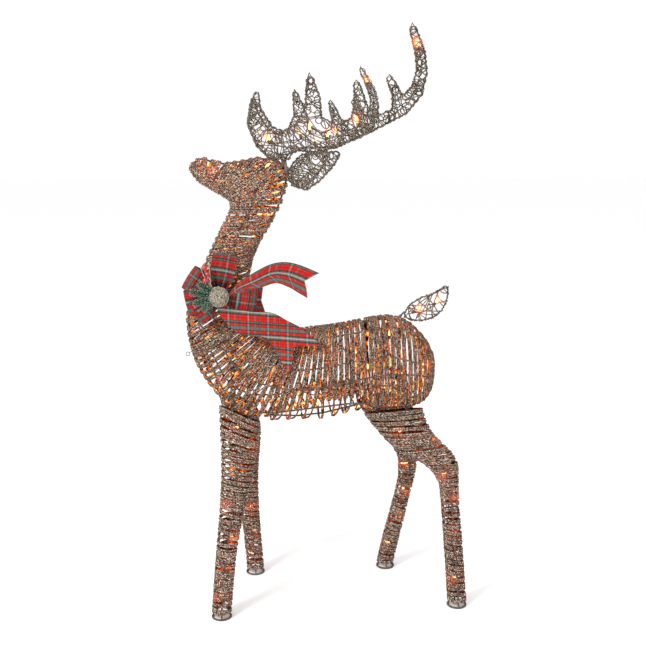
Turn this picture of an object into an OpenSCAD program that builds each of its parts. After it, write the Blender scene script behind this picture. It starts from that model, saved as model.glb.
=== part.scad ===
// Knock-down lighted yard reindeer: wire frames wrapped in twine, with pegged
// legs, head, antlers and tail, a light string in every section and a bow.
// The deer faces -Y, its left side is +X, and its feet stand on Z = 0.

/* [Frame] */

// Diameter of the frame wire, mm
wire_d = 5; // [4:0.5:5.5]

// Diameter of the wrapping twine, which is the thickness of every wrap, mm
twine_d = 5; // [4:0.5:5.5]

// Diameter of the outline wire of the antlers, ears and tail, mm
thin_wire_d = 3.6; // [3:0.2:4]

// Depth of the criss-cross vine on the antlers, mm
antler_depth = 18; // [15:1:22]

// Depth of the criss-cross vine on the ears and the tail, mm
vine_depth = 14; // [14:0.5:16]

/* [Sections] */

// Half width of the body at its widest, mm
body_half_w = 111; // [108:1:112]

// Half width of the head at the cheeks, mm
head_half_w = 58; // [55:1:61]

// Distance of each foot from the centre plane, mm
foot_x = 131; // [126:1:136]

// Outer diameter of the bare ring at the end of each leg, mm
foot_ring_d = 54; // [50:1:58]

// Gap between two sections at a seam, mm
seam_gap = 4; // [3:0.5:5]

/* [Pegs and sockets] */

// Diameter of the leg and neck pegs, mm
peg_d = 7; // [6:0.5:8]

// Length of the leg pegs, mm
leg_peg_len = 56; // [48:1:60]

// Length of the neck pegs, mm
neck_peg_len = 64; // [56:1:70]

// Diameter of the antler and tail pegs, mm
post_d = 4.6; // [4:0.2:5]

// Radial clearance between a peg and its socket, mm
peg_fit = 0.08; // [0.05:0.01:0.1]

// Wall thickness of the socket tubes, mm
socket_wall = 1.6; // [1.2:0.2:2]

/* [Antlers] */

// Outward lean of the left antler from vertical, degrees
antler_splay = 28; // [26:1:30]

// Outward turn of the left antler, degrees
left_antler_yaw = 18; // [15:1:20]

// Outward turn of the right antler, degrees
right_antler_yaw = 28; // [26:1:30]

// Forward pitch of the right antler, degrees
right_antler_pitch = 6; // [4:1:8]

/* [Lights] */

// Diameter of each lamp holder, mm
holder_d = 8; // [7:0.5:9]

// Length of each lamp bulb, mm
bulb_len = 17; // [14:1:19]

// Diameter of the twisted lead between lamps, mm
lead_d = 3; // [2.4:0.2:3.4]

/* [Bow] */

// Width of the ribbon, mm
ribbon_w = 63; // [60:1:66]

// Thickness of the ribbon, mm
ribbon_t = 1.2; // [1:0.1:1.5]

/* [Hidden] */

wire_r = wire_d / 2;
thin_r = thin_wire_d / 2;
peg_r = peg_d / 2;
post_r = post_d / 2;
lead_r = lead_d / 2;
holder_r = holder_d / 2;
wire_inset = twine_d + wire_r + 0.2;
holder_len = 12;
foot_ring_z = wire_r;
ground_shift_x = 31;
ground_shift_y = -6;

wire_color = [0.30, 0.27, 0.24];
twine_color = [0.62, 0.54, 0.47];
vine_color = [0.48, 0.41, 0.36];
socket_color = [0.36, 0.34, 0.32];
lead_color = [0.35, 0.25, 0.16];
bulb_color = [1.0, 0.62, 0.18];
tartan_color = [0.66, 0.10, 0.10];
green_color = [0.12, 0.26, 0.15];
berry_color = [0.70, 0.03, 0.08];

// ---- Stations ----
// A station is one slice of a wrapped section, written as
// [low or front end (y, z), high or back end (y, z), centre x, half width, corner, side tilt].
// corner is how far up the slice its lower side wires sit, from 0 to 1.

belly = 0.18;

body_stations = [
  [[-352, 698], [-176, 814], 0, body_half_w - 33, belly, 0],
  [[-343, 666], [-158, 780], 0, body_half_w - 24, belly, 0],
  [[-321, 626], [-140, 763], 0, body_half_w - 14, 0.16, 0],
  [[-292, 586], [-122, 757], 0, body_half_w - 6, 0.11, 0],
  [[-255, 553], [-106, 756], 0, body_half_w - 3, 0.08, 0],
  [[-205, 530], [-85, 757], 0, body_half_w - 1, 0.07, 0],
  [[-140, 510], [-60, 758], 0, body_half_w - 1, 0.14, 0],
  [[-70, 506], [-28, 762], 0, body_half_w - 2, belly, 0],
  [[0, 512], [10, 766], 0, body_half_w - 3, belly, 0],
  [[65, 526], [60, 773], 0, body_half_w - 4, 0.15, 0],
  [[120, 538], [115, 782], 0, body_half_w - 2, 0.09, 0],
  [[180, 543], [172, 791], 0, body_half_w, 0.07, 0],
  [[228, 545], [218, 781], 0, body_half_w - 4, 0.07, 0],
  [[262, 550], [254, 755], 0, body_half_w - 16, 0.09, 0],
  [[284, 566], [281, 722], 0, body_half_w - 36, 0.14, 0],
  [[296, 598], [297, 690], 0, body_half_w - 64, belly, 0],
  [[302, 630], [302, 662], 0, body_half_w - 92, belly, 0]
];

neck_stations = [
  shift_station(body_stations[0], seam_gap),
  [[-366, 762], [-190, 860], 0, 75, belly, 0],
  [[-362, 826], [-193, 905], 0, 70, belly, 0],
  [[-342, 878], [-188, 930], 0, 65, belly, 0],
  [[-314, 939], [-180, 956], 0, 60, belly, 0],
  [[-287, 997], [-163, 992], 0, 56, belly, 0],
  [[-258, 1052], [-140, 1030], 0, 53, belly, 0],
  [[-245, 1082], [-112, 1080], 0, 53, belly, 0]
];

head_stations = [
  [[-246, 1089], [-106, 1092], 0, 53, belly, 0],
  [[-248, 1098], [-92, 1135], 0, head_half_w - 4, belly, 0],
  [[-255, 1104], [-86, 1180], 0, head_half_w - 1, belly, 0],
  [[-266, 1110], [-112, 1206], 0, head_half_w, belly, 0],
  [[-276, 1116], [-165, 1212], 0, head_half_w - 3, belly, 0],
  [[-288, 1122], [-208, 1204], 0, head_half_w - 9, belly, 0],
  [[-300, 1130], [-250, 1199], 0, head_half_w - 16, belly, 0],
  [[-311, 1136], [-288, 1207], 0, head_half_w - 21, belly, 0],
  [[-321, 1142], [-313, 1214], 0, head_half_w - 24, belly, 0],
  [[-333, 1155], [-331, 1206], 0, head_half_w - 31, belly, 0],
  [[-339, 1168], [-340, 1196], 0, head_half_w - 42, belly, 0]
];

left_fore_stations = [
  [[-284, 567], [-174, 513], 64, 38, 0.5, 0.2],
  [[-284, 520], [-176, 480], foot_x - 59, 37, 0.5, 0.1],
  [[-282, 460], [-182, 440], foot_x - 49, 35, 0.5, 0.04],
  [[-283, 370], [-201, 355], foot_x - 35, 31, 0.5, 0],
  [[-290, 280], [-222, 272], foot_x - 23, 28, 0.5, 0],
  [[-300, 180], [-241, 176], foot_x - 13, 27, 0.5, 0],
  [[-308, 90], [-251, 88], foot_x - 5, 27, 0.5, 0],
  [[-314, 17], [-258, 17], foot_x, 27, 0.5, 0]
];

right_fore_stations = [
  [[-284, 567], [-174, 513], -64, 38, 0.5, -0.2],
  [[-277, 517], [-168, 480], 59 - foot_x, 37, 0.5, -0.1],
  [[-268, 452], [-166, 432], 49 - foot_x, 35, 0.5, -0.04],
  [[-256, 370], [-172, 358], 35 - foot_x, 31, 0.5, 0],
  [[-241, 280], [-174, 274], 23 - foot_x, 28, 0.5, 0],
  [[-228, 180], [-171, 177], 13 - foot_x, 27, 0.5, 0],
  [[-219, 90], [-165, 88], 5 - foot_x, 27, 0.5, 0],
  [[-214, 17], [-160, 17], -foot_x, 27, 0.5, 0]
];

left_hind_stations = [
  [[102, 531], [266, 541], 62, 42, 0.5, 0.2],
  [[126, 500], [277, 506], foot_x - 60, 42, 0.5, 0.1],
  [[156, 465], [293, 476], foot_x - 47, 40, 0.5, 0.04],
  [[195, 431], [319, 450], foot_x - 37, 37, 0.5, 0],
  [[244, 409], [342, 427], foot_x - 29, 33, 0.5, 0],
  [[280, 382], [357, 398], foot_x - 24, 30, 0.5, 0],
  [[301, 345], [358, 352], foot_x - 21, 28, 0.5, 0],
  [[307, 290], [360, 290], foot_x - 18, 26, 0.5, 0],
  [[314, 200], [369, 196], foot_x - 12, 26, 0.5, 0],
  [[321, 105], [377, 102], foot_x - 6, 27, 0.5, 0],
  [[327, 17], [383, 17], foot_x, 27, 0.5, 0]
];

right_hind_stations = [
  [[102, 531], [266, 541], -62, 42, 0.5, -0.2],
  [[122, 497], [266, 505], 60 - foot_x, 42, 0.5, -0.1],
  [[148, 456], [272, 470], 47 - foot_x, 40, 0.5, -0.04],
  [[180, 420], [282, 435], 37 - foot_x, 36, 0.5, 0],
  [[208, 388], [292, 402], 30 - foot_x, 32, 0.5, 0],
  [[228, 350], [294, 357], 25 - foot_x, 29, 0.5, 0],
  [[231, 290], [283, 286], 20 - foot_x, 27, 0.5, 0],
  [[221, 232], [270, 226], 16 - foot_x, 26, 0.5, 0],
  [[205, 165], [256, 158], 11 - foot_x, 26, 0.5, 0],
  [[190, 100], [243, 96], 6 - foot_x, 27, 0.5, 0],
  [[174, 17], [228, 17], -foot_x, 27, 0.5, 0]
];

// ---- Flat outlines, each in the plane of its own piece ----

antler_outline = [
  [-26, 6], [-56, 45], [-69, 105], [-51, 162], [-37, 192], [-27, 190],
  [-28, 147], [-4, 96], [20, 86], [54, 104],
  [83, 151], [95, 220], [104, 240], [113, 222],
  [125, 173], [123, 124], [157, 104], [195, 120],
  [206, 160], [208, 208], [216, 220], [226, 206],
  [238, 156], [255, 124], [297, 143],
  [298, 181], [287, 221], [296, 233], [308, 215],
  [325, 179], [348, 204], [359, 243], [356, 288], [347, 336], [354, 355], [365, 337],
  [382, 284], [385, 233], [371, 179], [334, 131], [273, 98], [204, 61],
  [132, 39], [65, 36], [37, 22], [26, 4]
];

ear_outline = [
  [6, 8], [24, 32], [54, 54], [94, 60], [138, 64], [149, 56],
  [131, 28], [108, 5], [84, -17], [48, -38], [14, -30], [5, -10]
];

tail_outline = [
  [8, 8], [24, 30], [52, 47], [84, 57], [108, 70], [119, 79], [127, 74], [129, 56],
  [124, 32], [112, 8], [88, -11], [56, -19], [28, -17], [8, -8]
];

// ---- Section shapes ----

// One slice of the body, neck or head: [side position, height], with the
// lower side wires at height c.
function barrel_shape(c) = smooth_loop([
  [0, 0], [0.5, c * 0.25], [0.88, c], [1, 0.42], [0.92, 0.7], [0.58, 0.93],
  [0, 1], [-0.58, 0.93], [-0.92, 0.7], [-1, 0.42], [-0.88, c], [-0.5, c * 0.25]
], 2);

// One slice of a leg, with its four side wires at front, outside, back and inside.
function leg_shape() = [for (i = [0:15]) [sin(i * 22.5), 0.5 - 0.5 * cos(i * 22.5)]];

function section_shape(station) = station[4] == 0.5 ? leg_shape() : barrel_shape(station[4]);

// ---- Curve helpers ----

function spline(a, b, c, d, t) =
  0.5 * (2 * b + (c - a) * t + (2 * a - 5 * b + 4 * c - d) * t * t + (3 * b - a - 3 * c + d) * t * t * t);

function smooth_loop(p, n) = [
  for (i = [0:len(p) - 1]) for (k = [0:n - 1])
    spline(p[(i + len(p) - 1) % len(p)], p[i], p[(i + 1) % len(p)], p[(i + 2) % len(p)], k / n)
];

function unit(v) = v / norm(v);

// ---- Station helpers ----

function low_end(s) = [s[2], s[0][0], s[0][1]];
function high_end(s) = [s[2], s[1][0], s[1][1]];
function station_middle(s) = (low_end(s) + high_end(s)) / 2;

// The direction in which a section grows from a station.
function station_normal(s) = unit([0, s[0][1] - s[1][1], s[1][0] - s[0][0]]);

function moved_station(s, v) = [s[0] + v, s[1] + v, s[2], s[3], s[4], s[5]];

function shift_station(s, d) =
  let (n = station_normal(s)) moved_station(s, [n[1], n[2]] * d);

// A point of a station: p is [side position, height], kept `inset` inside the outer surface.
function station_point(s, p, inset) =
  let (a = low_end(s), b = high_end(s), h = norm(b - a))
  a + (b - a) * ((p[1] * (h - 2 * inset) + inset) / h) + [1, 0, s[5]] * (p[0] * (s[3] - inset));

function station_ring(s, inset) = [for (p = section_shape(s)) station_point(s, p, inset)];

function mix_station(stations, t) =
  let (
    n = len(stations) - 1,
    i = min(floor(t * n), n - 1),
    u = t * n - i
  )
  stations[i] * (1 - u) + stations[i + 1] * u;

function fine_stations(stations, n) = [
  for (i = [0:len(stations) - 2]) for (k = [0:n - 1])
    spline(
      stations[max(i - 1, 0)], stations[i], stations[i + 1],
      stations[min(i + 2, len(stations) - 1)], k / n
    ),
  stations[len(stations) - 1]
];

// ---- Solid helpers ----

function flat_list(lists) = [for (l = lists) for (v = l) v];

function side_faces(rings, n, start) = [
  for (i = [0:rings - 2]) for (j = [0:n - 1])
    let (a = start + i * n + j, b = start + i * n + (j + 1) % n)
    [a, b, b + n, a + n]
];

function reversed(face) = [for (i = [len(face) - 1:-1:0]) face[i]];

// A hollow wrap, open at both ends, with walls one twine thick.
module wrap(stations) {
  outer = [for (s = stations) station_ring(s, 0)];
  inner = [for (s = stations) station_ring(s, twine_d)];
  rings = len(stations);
  n = len(outer[0]);
  last = (rings - 1) * n;
  inside = rings * n;
  polyhedron(
    points = concat(flat_list(outer), flat_list(inner)),
    faces = concat(
      [for (f = side_faces(rings, n, 0)) reversed(f)],
      side_faces(rings, n, inside),
      [for (j = [0:n - 1]) [j, (j + 1) % n, inside + (j + 1) % n, inside + j]],
      [for (j = [0:n - 1]) [last + (j + 1) % n, last + j, inside + last + j, inside + last + (j + 1) % n]]
    ),
    convexity = 12
  );
}

// A round wire along a path; `across` is a direction that the path never runs along.
module wire(path, r, across, closed = false, sides = 6) {
  n = len(path);
  rings = [
    for (i = [0:n - 1])
      let (
        before = closed ? path[(i + n - 1) % n] : path[max(i - 1, 0)],
        after = closed ? path[(i + 1) % n] : path[min(i + 1, n - 1)],
        run = unit(after - before),
        side = unit(cross(run, across)),
        up = cross(side, run)
      )
      [for (k = [0:sides - 1]) path[i] + r * (cos(k * 360 / sides) * side + sin(k * 360 / sides) * up)]
  ];
  count = n * sides;
  seam = [
    for (j = [0:sides - 1])
      let (a = (n - 1) * sides + j, b = (n - 1) * sides + (j + 1) % sides)
      [a, b, (j + 1) % sides, j]
  ];
  caps = [
    [for (k = [sides - 1:-1:0]) k],
    [for (k = [0:sides - 1]) count - sides + k]
  ];
  polyhedron(
    points = flat_list(rings),
    faces = concat(side_faces(n, sides, 0), closed ? seam : caps),
    convexity = 8
  );
}

// A straight round rod between two points.
module rod(from, to, r, sides = 24) {
  v = to - from;
  translate(from)
    rotate([0, acos(v[2] / norm(v)), atan2(v[1], v[0])])
      cylinder(r = r, h = norm(v), $fn = sides);
}

// A closed loop moved inwards by d.
function inset_loop(p, d) = [
  for (i = [0:len(p) - 1])
    let (run = unit(p[(i + 1) % len(p)] - p[(i + len(p) - 1) % len(p)]))
    p[i] + [run[1], -run[0]] * d
];

// ---- Frames of wrapped sections ----

// One lengthwise wire, through the same point of every slice.
module rail(stations, k) {
  wire([for (s = stations) station_ring(s, wire_inset)[k]], wire_r, [1, 0, 0]);
}

// One wire hoop round the inside of the wrap, through every second point of the slice.
module hoop(s) {
  ring = station_ring(s, wire_inset);
  wire([for (k = [0:2:len(ring) - 1]) ring[k]], wire_r, station_normal(s), closed = true);
}

// A straight wire across a section, between two points of its hoop.
module cross_wire(s, from, to) {
  ring = station_ring(s, wire_inset);
  rod(ring[from], ring[to], wire_r);
}

// ---- Pegs and sockets ----

socket_r = peg_r + peg_fit + socket_wall;
post_socket_r = post_r + peg_fit + socket_wall;
socket_offset = socket_r + wire_r - 0.6;
hoop_shift = wire_r + 1.5;
socket_lift = 7.5;

fore_peg_slices = [4, 5];
hind_peg_slices = [10.5, 12];

// The point where a cross wire meets the lower side wire of the body.
function lower_wire_point(slice) =
  station_ring(mix_station(body_stations, slice / (len(body_stations) - 1)), wire_inset)[4];

// The foot of a peg, on the bar along the top of a leg.
function peg_foot(stations, slice) =
  let (
    top = shift_station(stations[0], -hoop_shift),
    a = station_point(top, [0, 0], wire_inset),
    b = station_point(top, [0, 1], wire_inset),
    y = lower_wire_point(slice)[1] - socket_offset
  )
  a + (b - a) * ((y - a[1]) / (b[1] - a[1]));

module leg_pegs(stations, slices) {
  for (slice = slices)
    translate(peg_foot(stations, slice)) cylinder(r = peg_r, h = leg_peg_len, $fn = 32);
}

module leg_socket_rods(r, from, to) {
  for (leg = [
    [left_fore_stations, fore_peg_slices], [right_fore_stations, fore_peg_slices],
    [left_hind_stations, hind_peg_slices], [right_hind_stations, hind_peg_slices]
  ])
    for (slice = leg[1])
      translate(peg_foot(leg[0], slice) + [0, 0, from]) cylinder(r = r, h = to - from, $fn = 32);
}

module leg_sockets() {
  color(socket_color) difference() {
    union() {
      leg_socket_rods(socket_r, socket_lift, leg_peg_len + 3);
      for (slice = concat(fore_peg_slices, hind_peg_slices)) {
        p = lower_wire_point(slice);
        rod([-p[0], p[1], p[2]], p, wire_r);
      }
    }
    leg_socket_rods(peg_r + peg_fit, 0, leg_peg_len + 10);
  }
}

neck_line_height = 0.42;
neck_peg_x = 28;
neck_direction = station_normal(body_stations[0]);
neck_up = unit(high_end(body_stations[0]) - low_end(body_stations[0]));

// The middle of the side-to-side wire of a seam hoop.
function seam_line(shift) =
  station_point(shift_station(body_stations[0], shift), [0, neck_line_height], wire_inset);

module neck_rods(r, from, to) {
  for (x = [-neck_peg_x, neck_peg_x])
    rod(
      seam_line(seam_gap + hoop_shift) + [x, 0, 0] + neck_direction * from,
      seam_line(seam_gap + hoop_shift) + [x, 0, 0] + neck_direction * to,
      r, 32
    );
}

module neck_sockets() {
  half = body_stations[0][3] - wire_inset - 1;
  middle = seam_line(-hoop_shift) + neck_up * socket_offset;
  bottom = -neck_peg_len - 3;
  top = -seam_gap - hoop_shift - 0.5;
  color(socket_color) difference() {
    union() {
      neck_rods(socket_r, bottom, top);
      rod(middle - [half, 0, 0], middle + [half, 0, 0], wire_r);
    }
    neck_rods(peg_r + peg_fit, bottom - 2, top + 2);
  }
}

// ---- Antler, ear and tail placing ----

// Axes of a flat piece: first along its outline's x, second along its outline's y.
function flat_axes(side, yaw, splay, pitch) =
  let (
    back = [side * sin(yaw), cos(yaw), 0],
    out = [side * cos(yaw), -sin(yaw), 0],
    up = [0, 0, cos(splay)] + out * sin(splay)
  )
  [back * cos(pitch) + up * sin(pitch), up * cos(pitch) - back * sin(pitch)];

antler_base = [38, -116, 1200];
antler_posts = [-13, 15];
left_antler_axes = flat_axes(1, left_antler_yaw, antler_splay, 0);
right_antler_axes = flat_axes(-1, right_antler_yaw, antler_splay + 4, -right_antler_pitch);

ear_base = [33, -93, 1164];
ear_stems = [-5, -13];

tail_root = [0, 214, 789];
tail_direction = [0, sin(44), cos(44)];

module place(origin, axes) {
  n = cross(axes[0], axes[1]);
  multmatrix([
    [axes[0][0], axes[1][0], n[0], origin[0]],
    [axes[0][1], axes[1][1], n[1], origin[1]],
    [axes[0][2], axes[1][2], n[2], origin[2]],
    [0, 0, 0, 1]
  ]) children();
}

module place_left_antler() {
  place(antler_base, left_antler_axes) children();
}

module place_right_antler() {
  place([-antler_base[0], antler_base[1], antler_base[2]], right_antler_axes) children();
}

module place_ear(side) {
  place([side * ear_base[0], ear_base[1], ear_base[2]], flat_axes(side, 30, 10, 0)) children();
}

module place_tail() {
  place(tail_root, [[0, 1, 0], [0, 0, 1]]) children();
}

// A straight round rod in the plane of a flat piece.
module flat_rod(from, to, r, sides = 32) {
  rod([from[0], from[1], 0], [to[0], to[1], 0], r, sides);
}

// ---- Flat wire-and-vine pieces ----

vine_t = 2.4;
vine_edge = thin_wire_d + 0.3;

module outline_wire(outline) {
  path = inset_loop(outline, thin_r);
  wire([for (p = path) [p[0], p[1], 0]], thin_r, [0, 0, 1], closed = true);
}

// The vine between the outline wires: a hollow flat shell with lamps inside.
module vine_shell(outline, depth) {
  difference() {
    linear_extrude(height = depth, center = true)
      offset(delta = -vine_edge) polygon(outline);
    linear_extrude(height = depth - 2 * vine_t, center = true)
      offset(delta = -vine_edge - vine_t) polygon(outline);
  }
}

// ---- Lamps and leads ----

lamp_len = holder_len + bulb_len;
tip_inset = twine_d + wire_d + 2.5;

// Where a lamp sits in a section: its back end and the way it points.
function lamp_in(stations, t, angle) =
  let (
    s = mix_station(stations, t),
    tip = station_point(s, [0.93 * sin(angle), 0.5 - 0.465 * cos(angle)], tip_inset),
    direction = unit(tip - station_middle(s))
  )
  [tip - direction * lamp_len, direction];

function lamp_row(stations, count, from, to, first_angle, step) = [
  for (i = [0:count - 1])
    lamp_in(stations, from + (to - from) * i / (count - 1), first_angle + step * i)
];

module holder(lamp) {
  rod(lamp[0], lamp[0] + lamp[1] * holder_len, holder_r, 20);
}

// One glass bulb, with a shoulder and a drawn-out tip.
module bulb(lamp) {
  v = lamp[1];
  r = holder_r - 0.9;
  translate(lamp[0] + v * holder_len)
    rotate([0, acos(v[2]), atan2(v[1], v[0])])
      rotate_extrude($fn = 20)
        polygon([
          [0, 0], [r, 0], [r, bulb_len * 0.6], [r * 0.62, bulb_len * 0.85],
          [r * 0.2, bulb_len], [0, bulb_len]
        ]);
}

module leads(points) {
  for (i = [0:len(points) - 2])
    rod(points[i], points[i + 1], lead_r, 16);
}

module light_string(lamps) {
  color(lead_color) {
    leads([for (lamp = lamps) lamp[0] + lamp[1] * 2]);
    for (lamp = lamps) holder(lamp);
  }
}

module bulbs(lamps) {
  color(bulb_color) for (lamp = lamps) bulb(lamp);
}

body_lamps_list = lamp_row(body_stations, 22, 0.16, 0.9, 60, 78);
neck_lamps_list = lamp_row(concat(neck_stations, head_stations), 14, 0.12, 0.93, 80, 100);
left_fore_lamps = lamp_row(left_fore_stations, 7, 0.12, 0.92, 70, 110);
right_fore_lamps = lamp_row(right_fore_stations, 7, 0.14, 0.92, 20, 110);
left_hind_lamps = lamp_row(left_hind_stations, 7, 0.14, 0.93, 70, 110);
right_hind_lamps = lamp_row(right_hind_stations, 7, 0.14, 0.93, 20, 110);

// ---- Body ----

body_rails = [0, 4, 6, 10, 12, 14, 18, 20];
body_hoops = [3, 6, 9, 11, 14];
body_last_rail_slice = 15;

module tail_socket_rod(r, from, to) {
  rod(tail_root + tail_direction * from, tail_root + tail_direction * to, r, 32);
}

module body_frame() {
  kept = [for (i = [0:body_last_rail_slice]) body_stations[i]];
  start = shift_station(body_stations[0], -hoop_shift);
  rail_slices = concat([start], [for (i = [1:len(kept) - 1]) kept[i]]);
  color(wire_color) difference() {
    union() {
      for (k = body_rails) rail(rail_slices, k);
      hoop(start);
      for (i = body_hoops) hoop(body_stations[i]);
    }
    tail_socket_rod(post_socket_r, -60, 10);
  }
}

module body_wrap() {
  color(twine_color) difference() {
    wrap(fine_stations(body_stations, 2));
    leg_socket_rods(socket_r + 0.5, -10, leg_peg_len + 6);
    tail_socket_rod(post_socket_r + 0.5, -45, 30);
  }
}

module tail_socket() {
  color(socket_color) difference() {
    tail_socket_rod(post_socket_r, -38, -1);
    tail_socket_rod(post_r + peg_fit, -50, 10);
  }
}

module body_light_string() {
  light_string(body_lamps_list);
}

module body_lamps() {
  bulbs(body_lamps_list);
}

// ---- Neck and head ----

head_rails = [0, 4, 6, 12, 18, 20];

module neck_frame() {
  start = shift_station(neck_stations[0], hoop_shift);
  end = shift_station(head_stations[0], hoop_shift);
  slices = concat([start], [for (i = [1:len(neck_stations) - 1]) neck_stations[i]], [end]);
  color(wire_color) {
    for (k = head_rails) rail(slices, k);
    hoop(start);
    hoop(neck_stations[4]);
    hoop(shift_station(neck_stations[7], -hoop_shift));
    cross_wire(start, 6, 18);
    neck_rods(peg_r, -neck_peg_len, 0);
  }
}

module neck_wrap() {
  color(twine_color) wrap(fine_stations(neck_stations, 2));
}

module antler_socket_rods(r, from, to) {
  for (a = antler_posts) {
    place_left_antler() flat_rod([a, from], [a, to], r);
    place_right_antler() flat_rod([a, from], [a, to], r);
  }
}

module ear_stem_rods(r, from, to) {
  for (side = [-1, 1]) for (b = ear_stems)
    place_ear(side) flat_rod([from, b], [to, b], r);
}

module head_frame() {
  start = shift_station(head_stations[0], hoop_shift);
  slices = concat([start], [for (i = [1:9]) head_stations[i]]);
  color(wire_color) difference() {
    union() {
      for (k = head_rails) rail(slices, k);
      hoop(start);
      hoop(head_stations[3]);
      hoop(head_stations[6]);
      hoop(head_stations[9]);
    }
    antler_socket_rods(post_socket_r, -60, 20);
    ear_stem_rods(thin_r + 0.3, -60, 10);
  }
}

module head_wrap() {
  color(twine_color) difference() {
    wrap(head_stations);
    antler_socket_rods(post_socket_r + 0.5, -45, 20);
    ear_stem_rods(thin_r + 0.5, -25, 20);
  }
}

module antler_sockets() {
  left = [for (a = antler_posts) antler_base + left_antler_axes[0] * a - left_antler_axes[1] * 26];
  right_base = [-antler_base[0], antler_base[1], antler_base[2]];
  right = [for (a = antler_posts) right_base + right_antler_axes[0] * a - right_antler_axes[1] * 26];
  color(socket_color) difference() {
    union() {
      antler_socket_rods(post_socket_r, -38, 3);
      for (i = [0, 1]) rod(left[i], right[i], wire_r);
    }
    antler_socket_rods(post_r + peg_fit, -60, 20);
  }
}

module ear_frame(side) {
  color(wire_color) place_ear(side) {
    outline_wire(ear_outline);
    for (b = ear_stems) flat_rod([-16, b], [8.5, b], thin_r - 0.4, 24);
  }
}

module ear_vine(side) {
  color(vine_color) place_ear(side) vine_shell(ear_outline, vine_depth);
}

module left_ear_frame() {
  ear_frame(1);
}

module left_ear_vine() {
  ear_vine(1);
}

module right_ear_frame() {
  ear_frame(-1);
}

module right_ear_vine() {
  ear_vine(-1);
}

module head_light_string() {
  light_string(neck_lamps_list);
}

module head_lamps() {
  bulbs(neck_lamps_list);
}

// ---- Antlers ----

// Lead route from the root to the beam's tip, and the lamps on it: [x, y, pointing angle].
antler_route = [
  [3, 16], [-10, 51], [67, 63], [89, 78], [126, 61], [196, 84], [212, 96],
  [280, 116], [337, 157], [365, 214], [372, 260], [368, 286]
];
antler_lamp_spots = [[-10, 51, 120], [89, 78, 88], [126, 61, 60], [212, 96, 95], [368, 286, 104]];

antler_lamps_list = [
  for (spot = antler_lamp_spots) [[spot[0], spot[1], 0], [cos(spot[2]), sin(spot[2]), 0]]
];

module antler_frame() {
  color(wire_color) {
    outline_wire(antler_outline);
    for (a = antler_posts) flat_rod([a, -34], [a, 14], post_r);
  }
}

module antler_vine() {
  color(vine_color) difference() {
    vine_shell(antler_outline, antler_depth);
    for (a = antler_posts) flat_rod([a, -40], [a, 15], post_r + 0.4);
  }
}

module antler_light_string() {
  color(lead_color) {
    wire([for (p = antler_route) [p[0], p[1], 0]], lead_r, [0, 0, 1]);
    for (lamp = antler_lamps_list) holder(lamp);
  }
}

module left_antler_frame() {
  place_left_antler() antler_frame();
}

module left_antler_vine() {
  place_left_antler() antler_vine();
}

module left_antler_light_string() {
  place_left_antler() antler_light_string();
}

module left_antler_lamps() {
  place_left_antler() bulbs(antler_lamps_list);
}

module right_antler_frame() {
  place_right_antler() antler_frame();
}

module right_antler_vine() {
  place_right_antler() antler_vine();
}

module right_antler_light_string() {
  place_right_antler() antler_light_string();
}

module right_antler_lamps() {
  place_right_antler() bulbs(antler_lamps_list);
}

// ---- Legs ----

leg_rails = [0, 4, 8, 12];

function foot_middle(stations) =
  let (s = stations[len(stations) - 1])
  [s[2], (s[0][0] + s[1][0]) / 2, foot_ring_z];

// Frame of one leg: side wires down to the bare foot ring, hoops, a bar and two pegs on top.
module leg_frame(stations, slices, hoops) {
  top = shift_station(stations[0], -hoop_shift);
  kept = concat([top], [for (i = [1:len(stations) - 1]) stations[i]]);
  foot = foot_middle(stations);
  ring_r = foot_ring_d / 2 - wire_r;
  color(wire_color) {
    for (k = leg_rails)
      wire(
        concat(
          [for (s = kept) station_ring(s, wire_inset)[k]],
          [foot + [ring_r * sin(k * 22.5), -ring_r * cos(k * 22.5), wire_r * 0.4]]
        ),
        wire_r * 0.9, [1, 0.2, 0], sides = 5
      );
    hoop(top);
    for (i = hoops) hoop(stations[i]);
    cross_wire(top, 0, 8);
    leg_pegs(stations, slices);
    translate([foot[0], foot[1], 0]) foot_ring(ring_r);
  }
}

// The bare ring that the leg stands on, with a flat underside.
module foot_ring(ring_r) {
  flat = wire_r * 0.42;
  rotate_extrude($fn = 32)
    translate([ring_r, wire_r])
      polygon([
        [-flat, -wire_r], [flat, -wire_r], [wire_r, -flat], [wire_r, flat],
        [flat, wire_r], [-flat, wire_r], [-wire_r, flat], [-wire_r, -flat]
      ]);
}

module leg_wrap(stations) {
  color(twine_color) wrap(stations);
}

module left_fore_leg_frame() {
  leg_frame(left_fore_stations, fore_peg_slices, [3, 7]);
}

module left_fore_leg_wrap() {
  leg_wrap(fine_stations(left_fore_stations, 2));
}

module left_fore_leg_light_string() {
  light_string(left_fore_lamps);
}

module left_fore_leg_lamps() {
  bulbs(left_fore_lamps);
}

module right_fore_leg_frame() {
  leg_frame(right_fore_stations, fore_peg_slices, [3, 7]);
}

module right_fore_leg_wrap() {
  leg_wrap(fine_stations(right_fore_stations, 2));
}

module right_fore_leg_light_string() {
  light_string(right_fore_lamps);
}

module right_fore_leg_lamps() {
  bulbs(right_fore_lamps);
}

module left_hind_leg_frame() {
  leg_frame(left_hind_stations, hind_peg_slices, [3, 6, 10]);
}

module left_hind_leg_wrap() {
  leg_wrap(left_hind_stations);
}

module left_hind_leg_light_string() {
  light_string(left_hind_lamps);
}

module left_hind_leg_lamps() {
  bulbs(left_hind_lamps);
}

module right_hind_leg_frame() {
  leg_frame(right_hind_stations, hind_peg_slices, [3, 6, 10]);
}

module right_hind_leg_wrap() {
  leg_wrap(right_hind_stations);
}

module right_hind_leg_light_string() {
  light_string(right_hind_lamps);
}

module right_hind_leg_lamps() {
  bulbs(right_hind_lamps);
}

// ---- Tail ----

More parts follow.
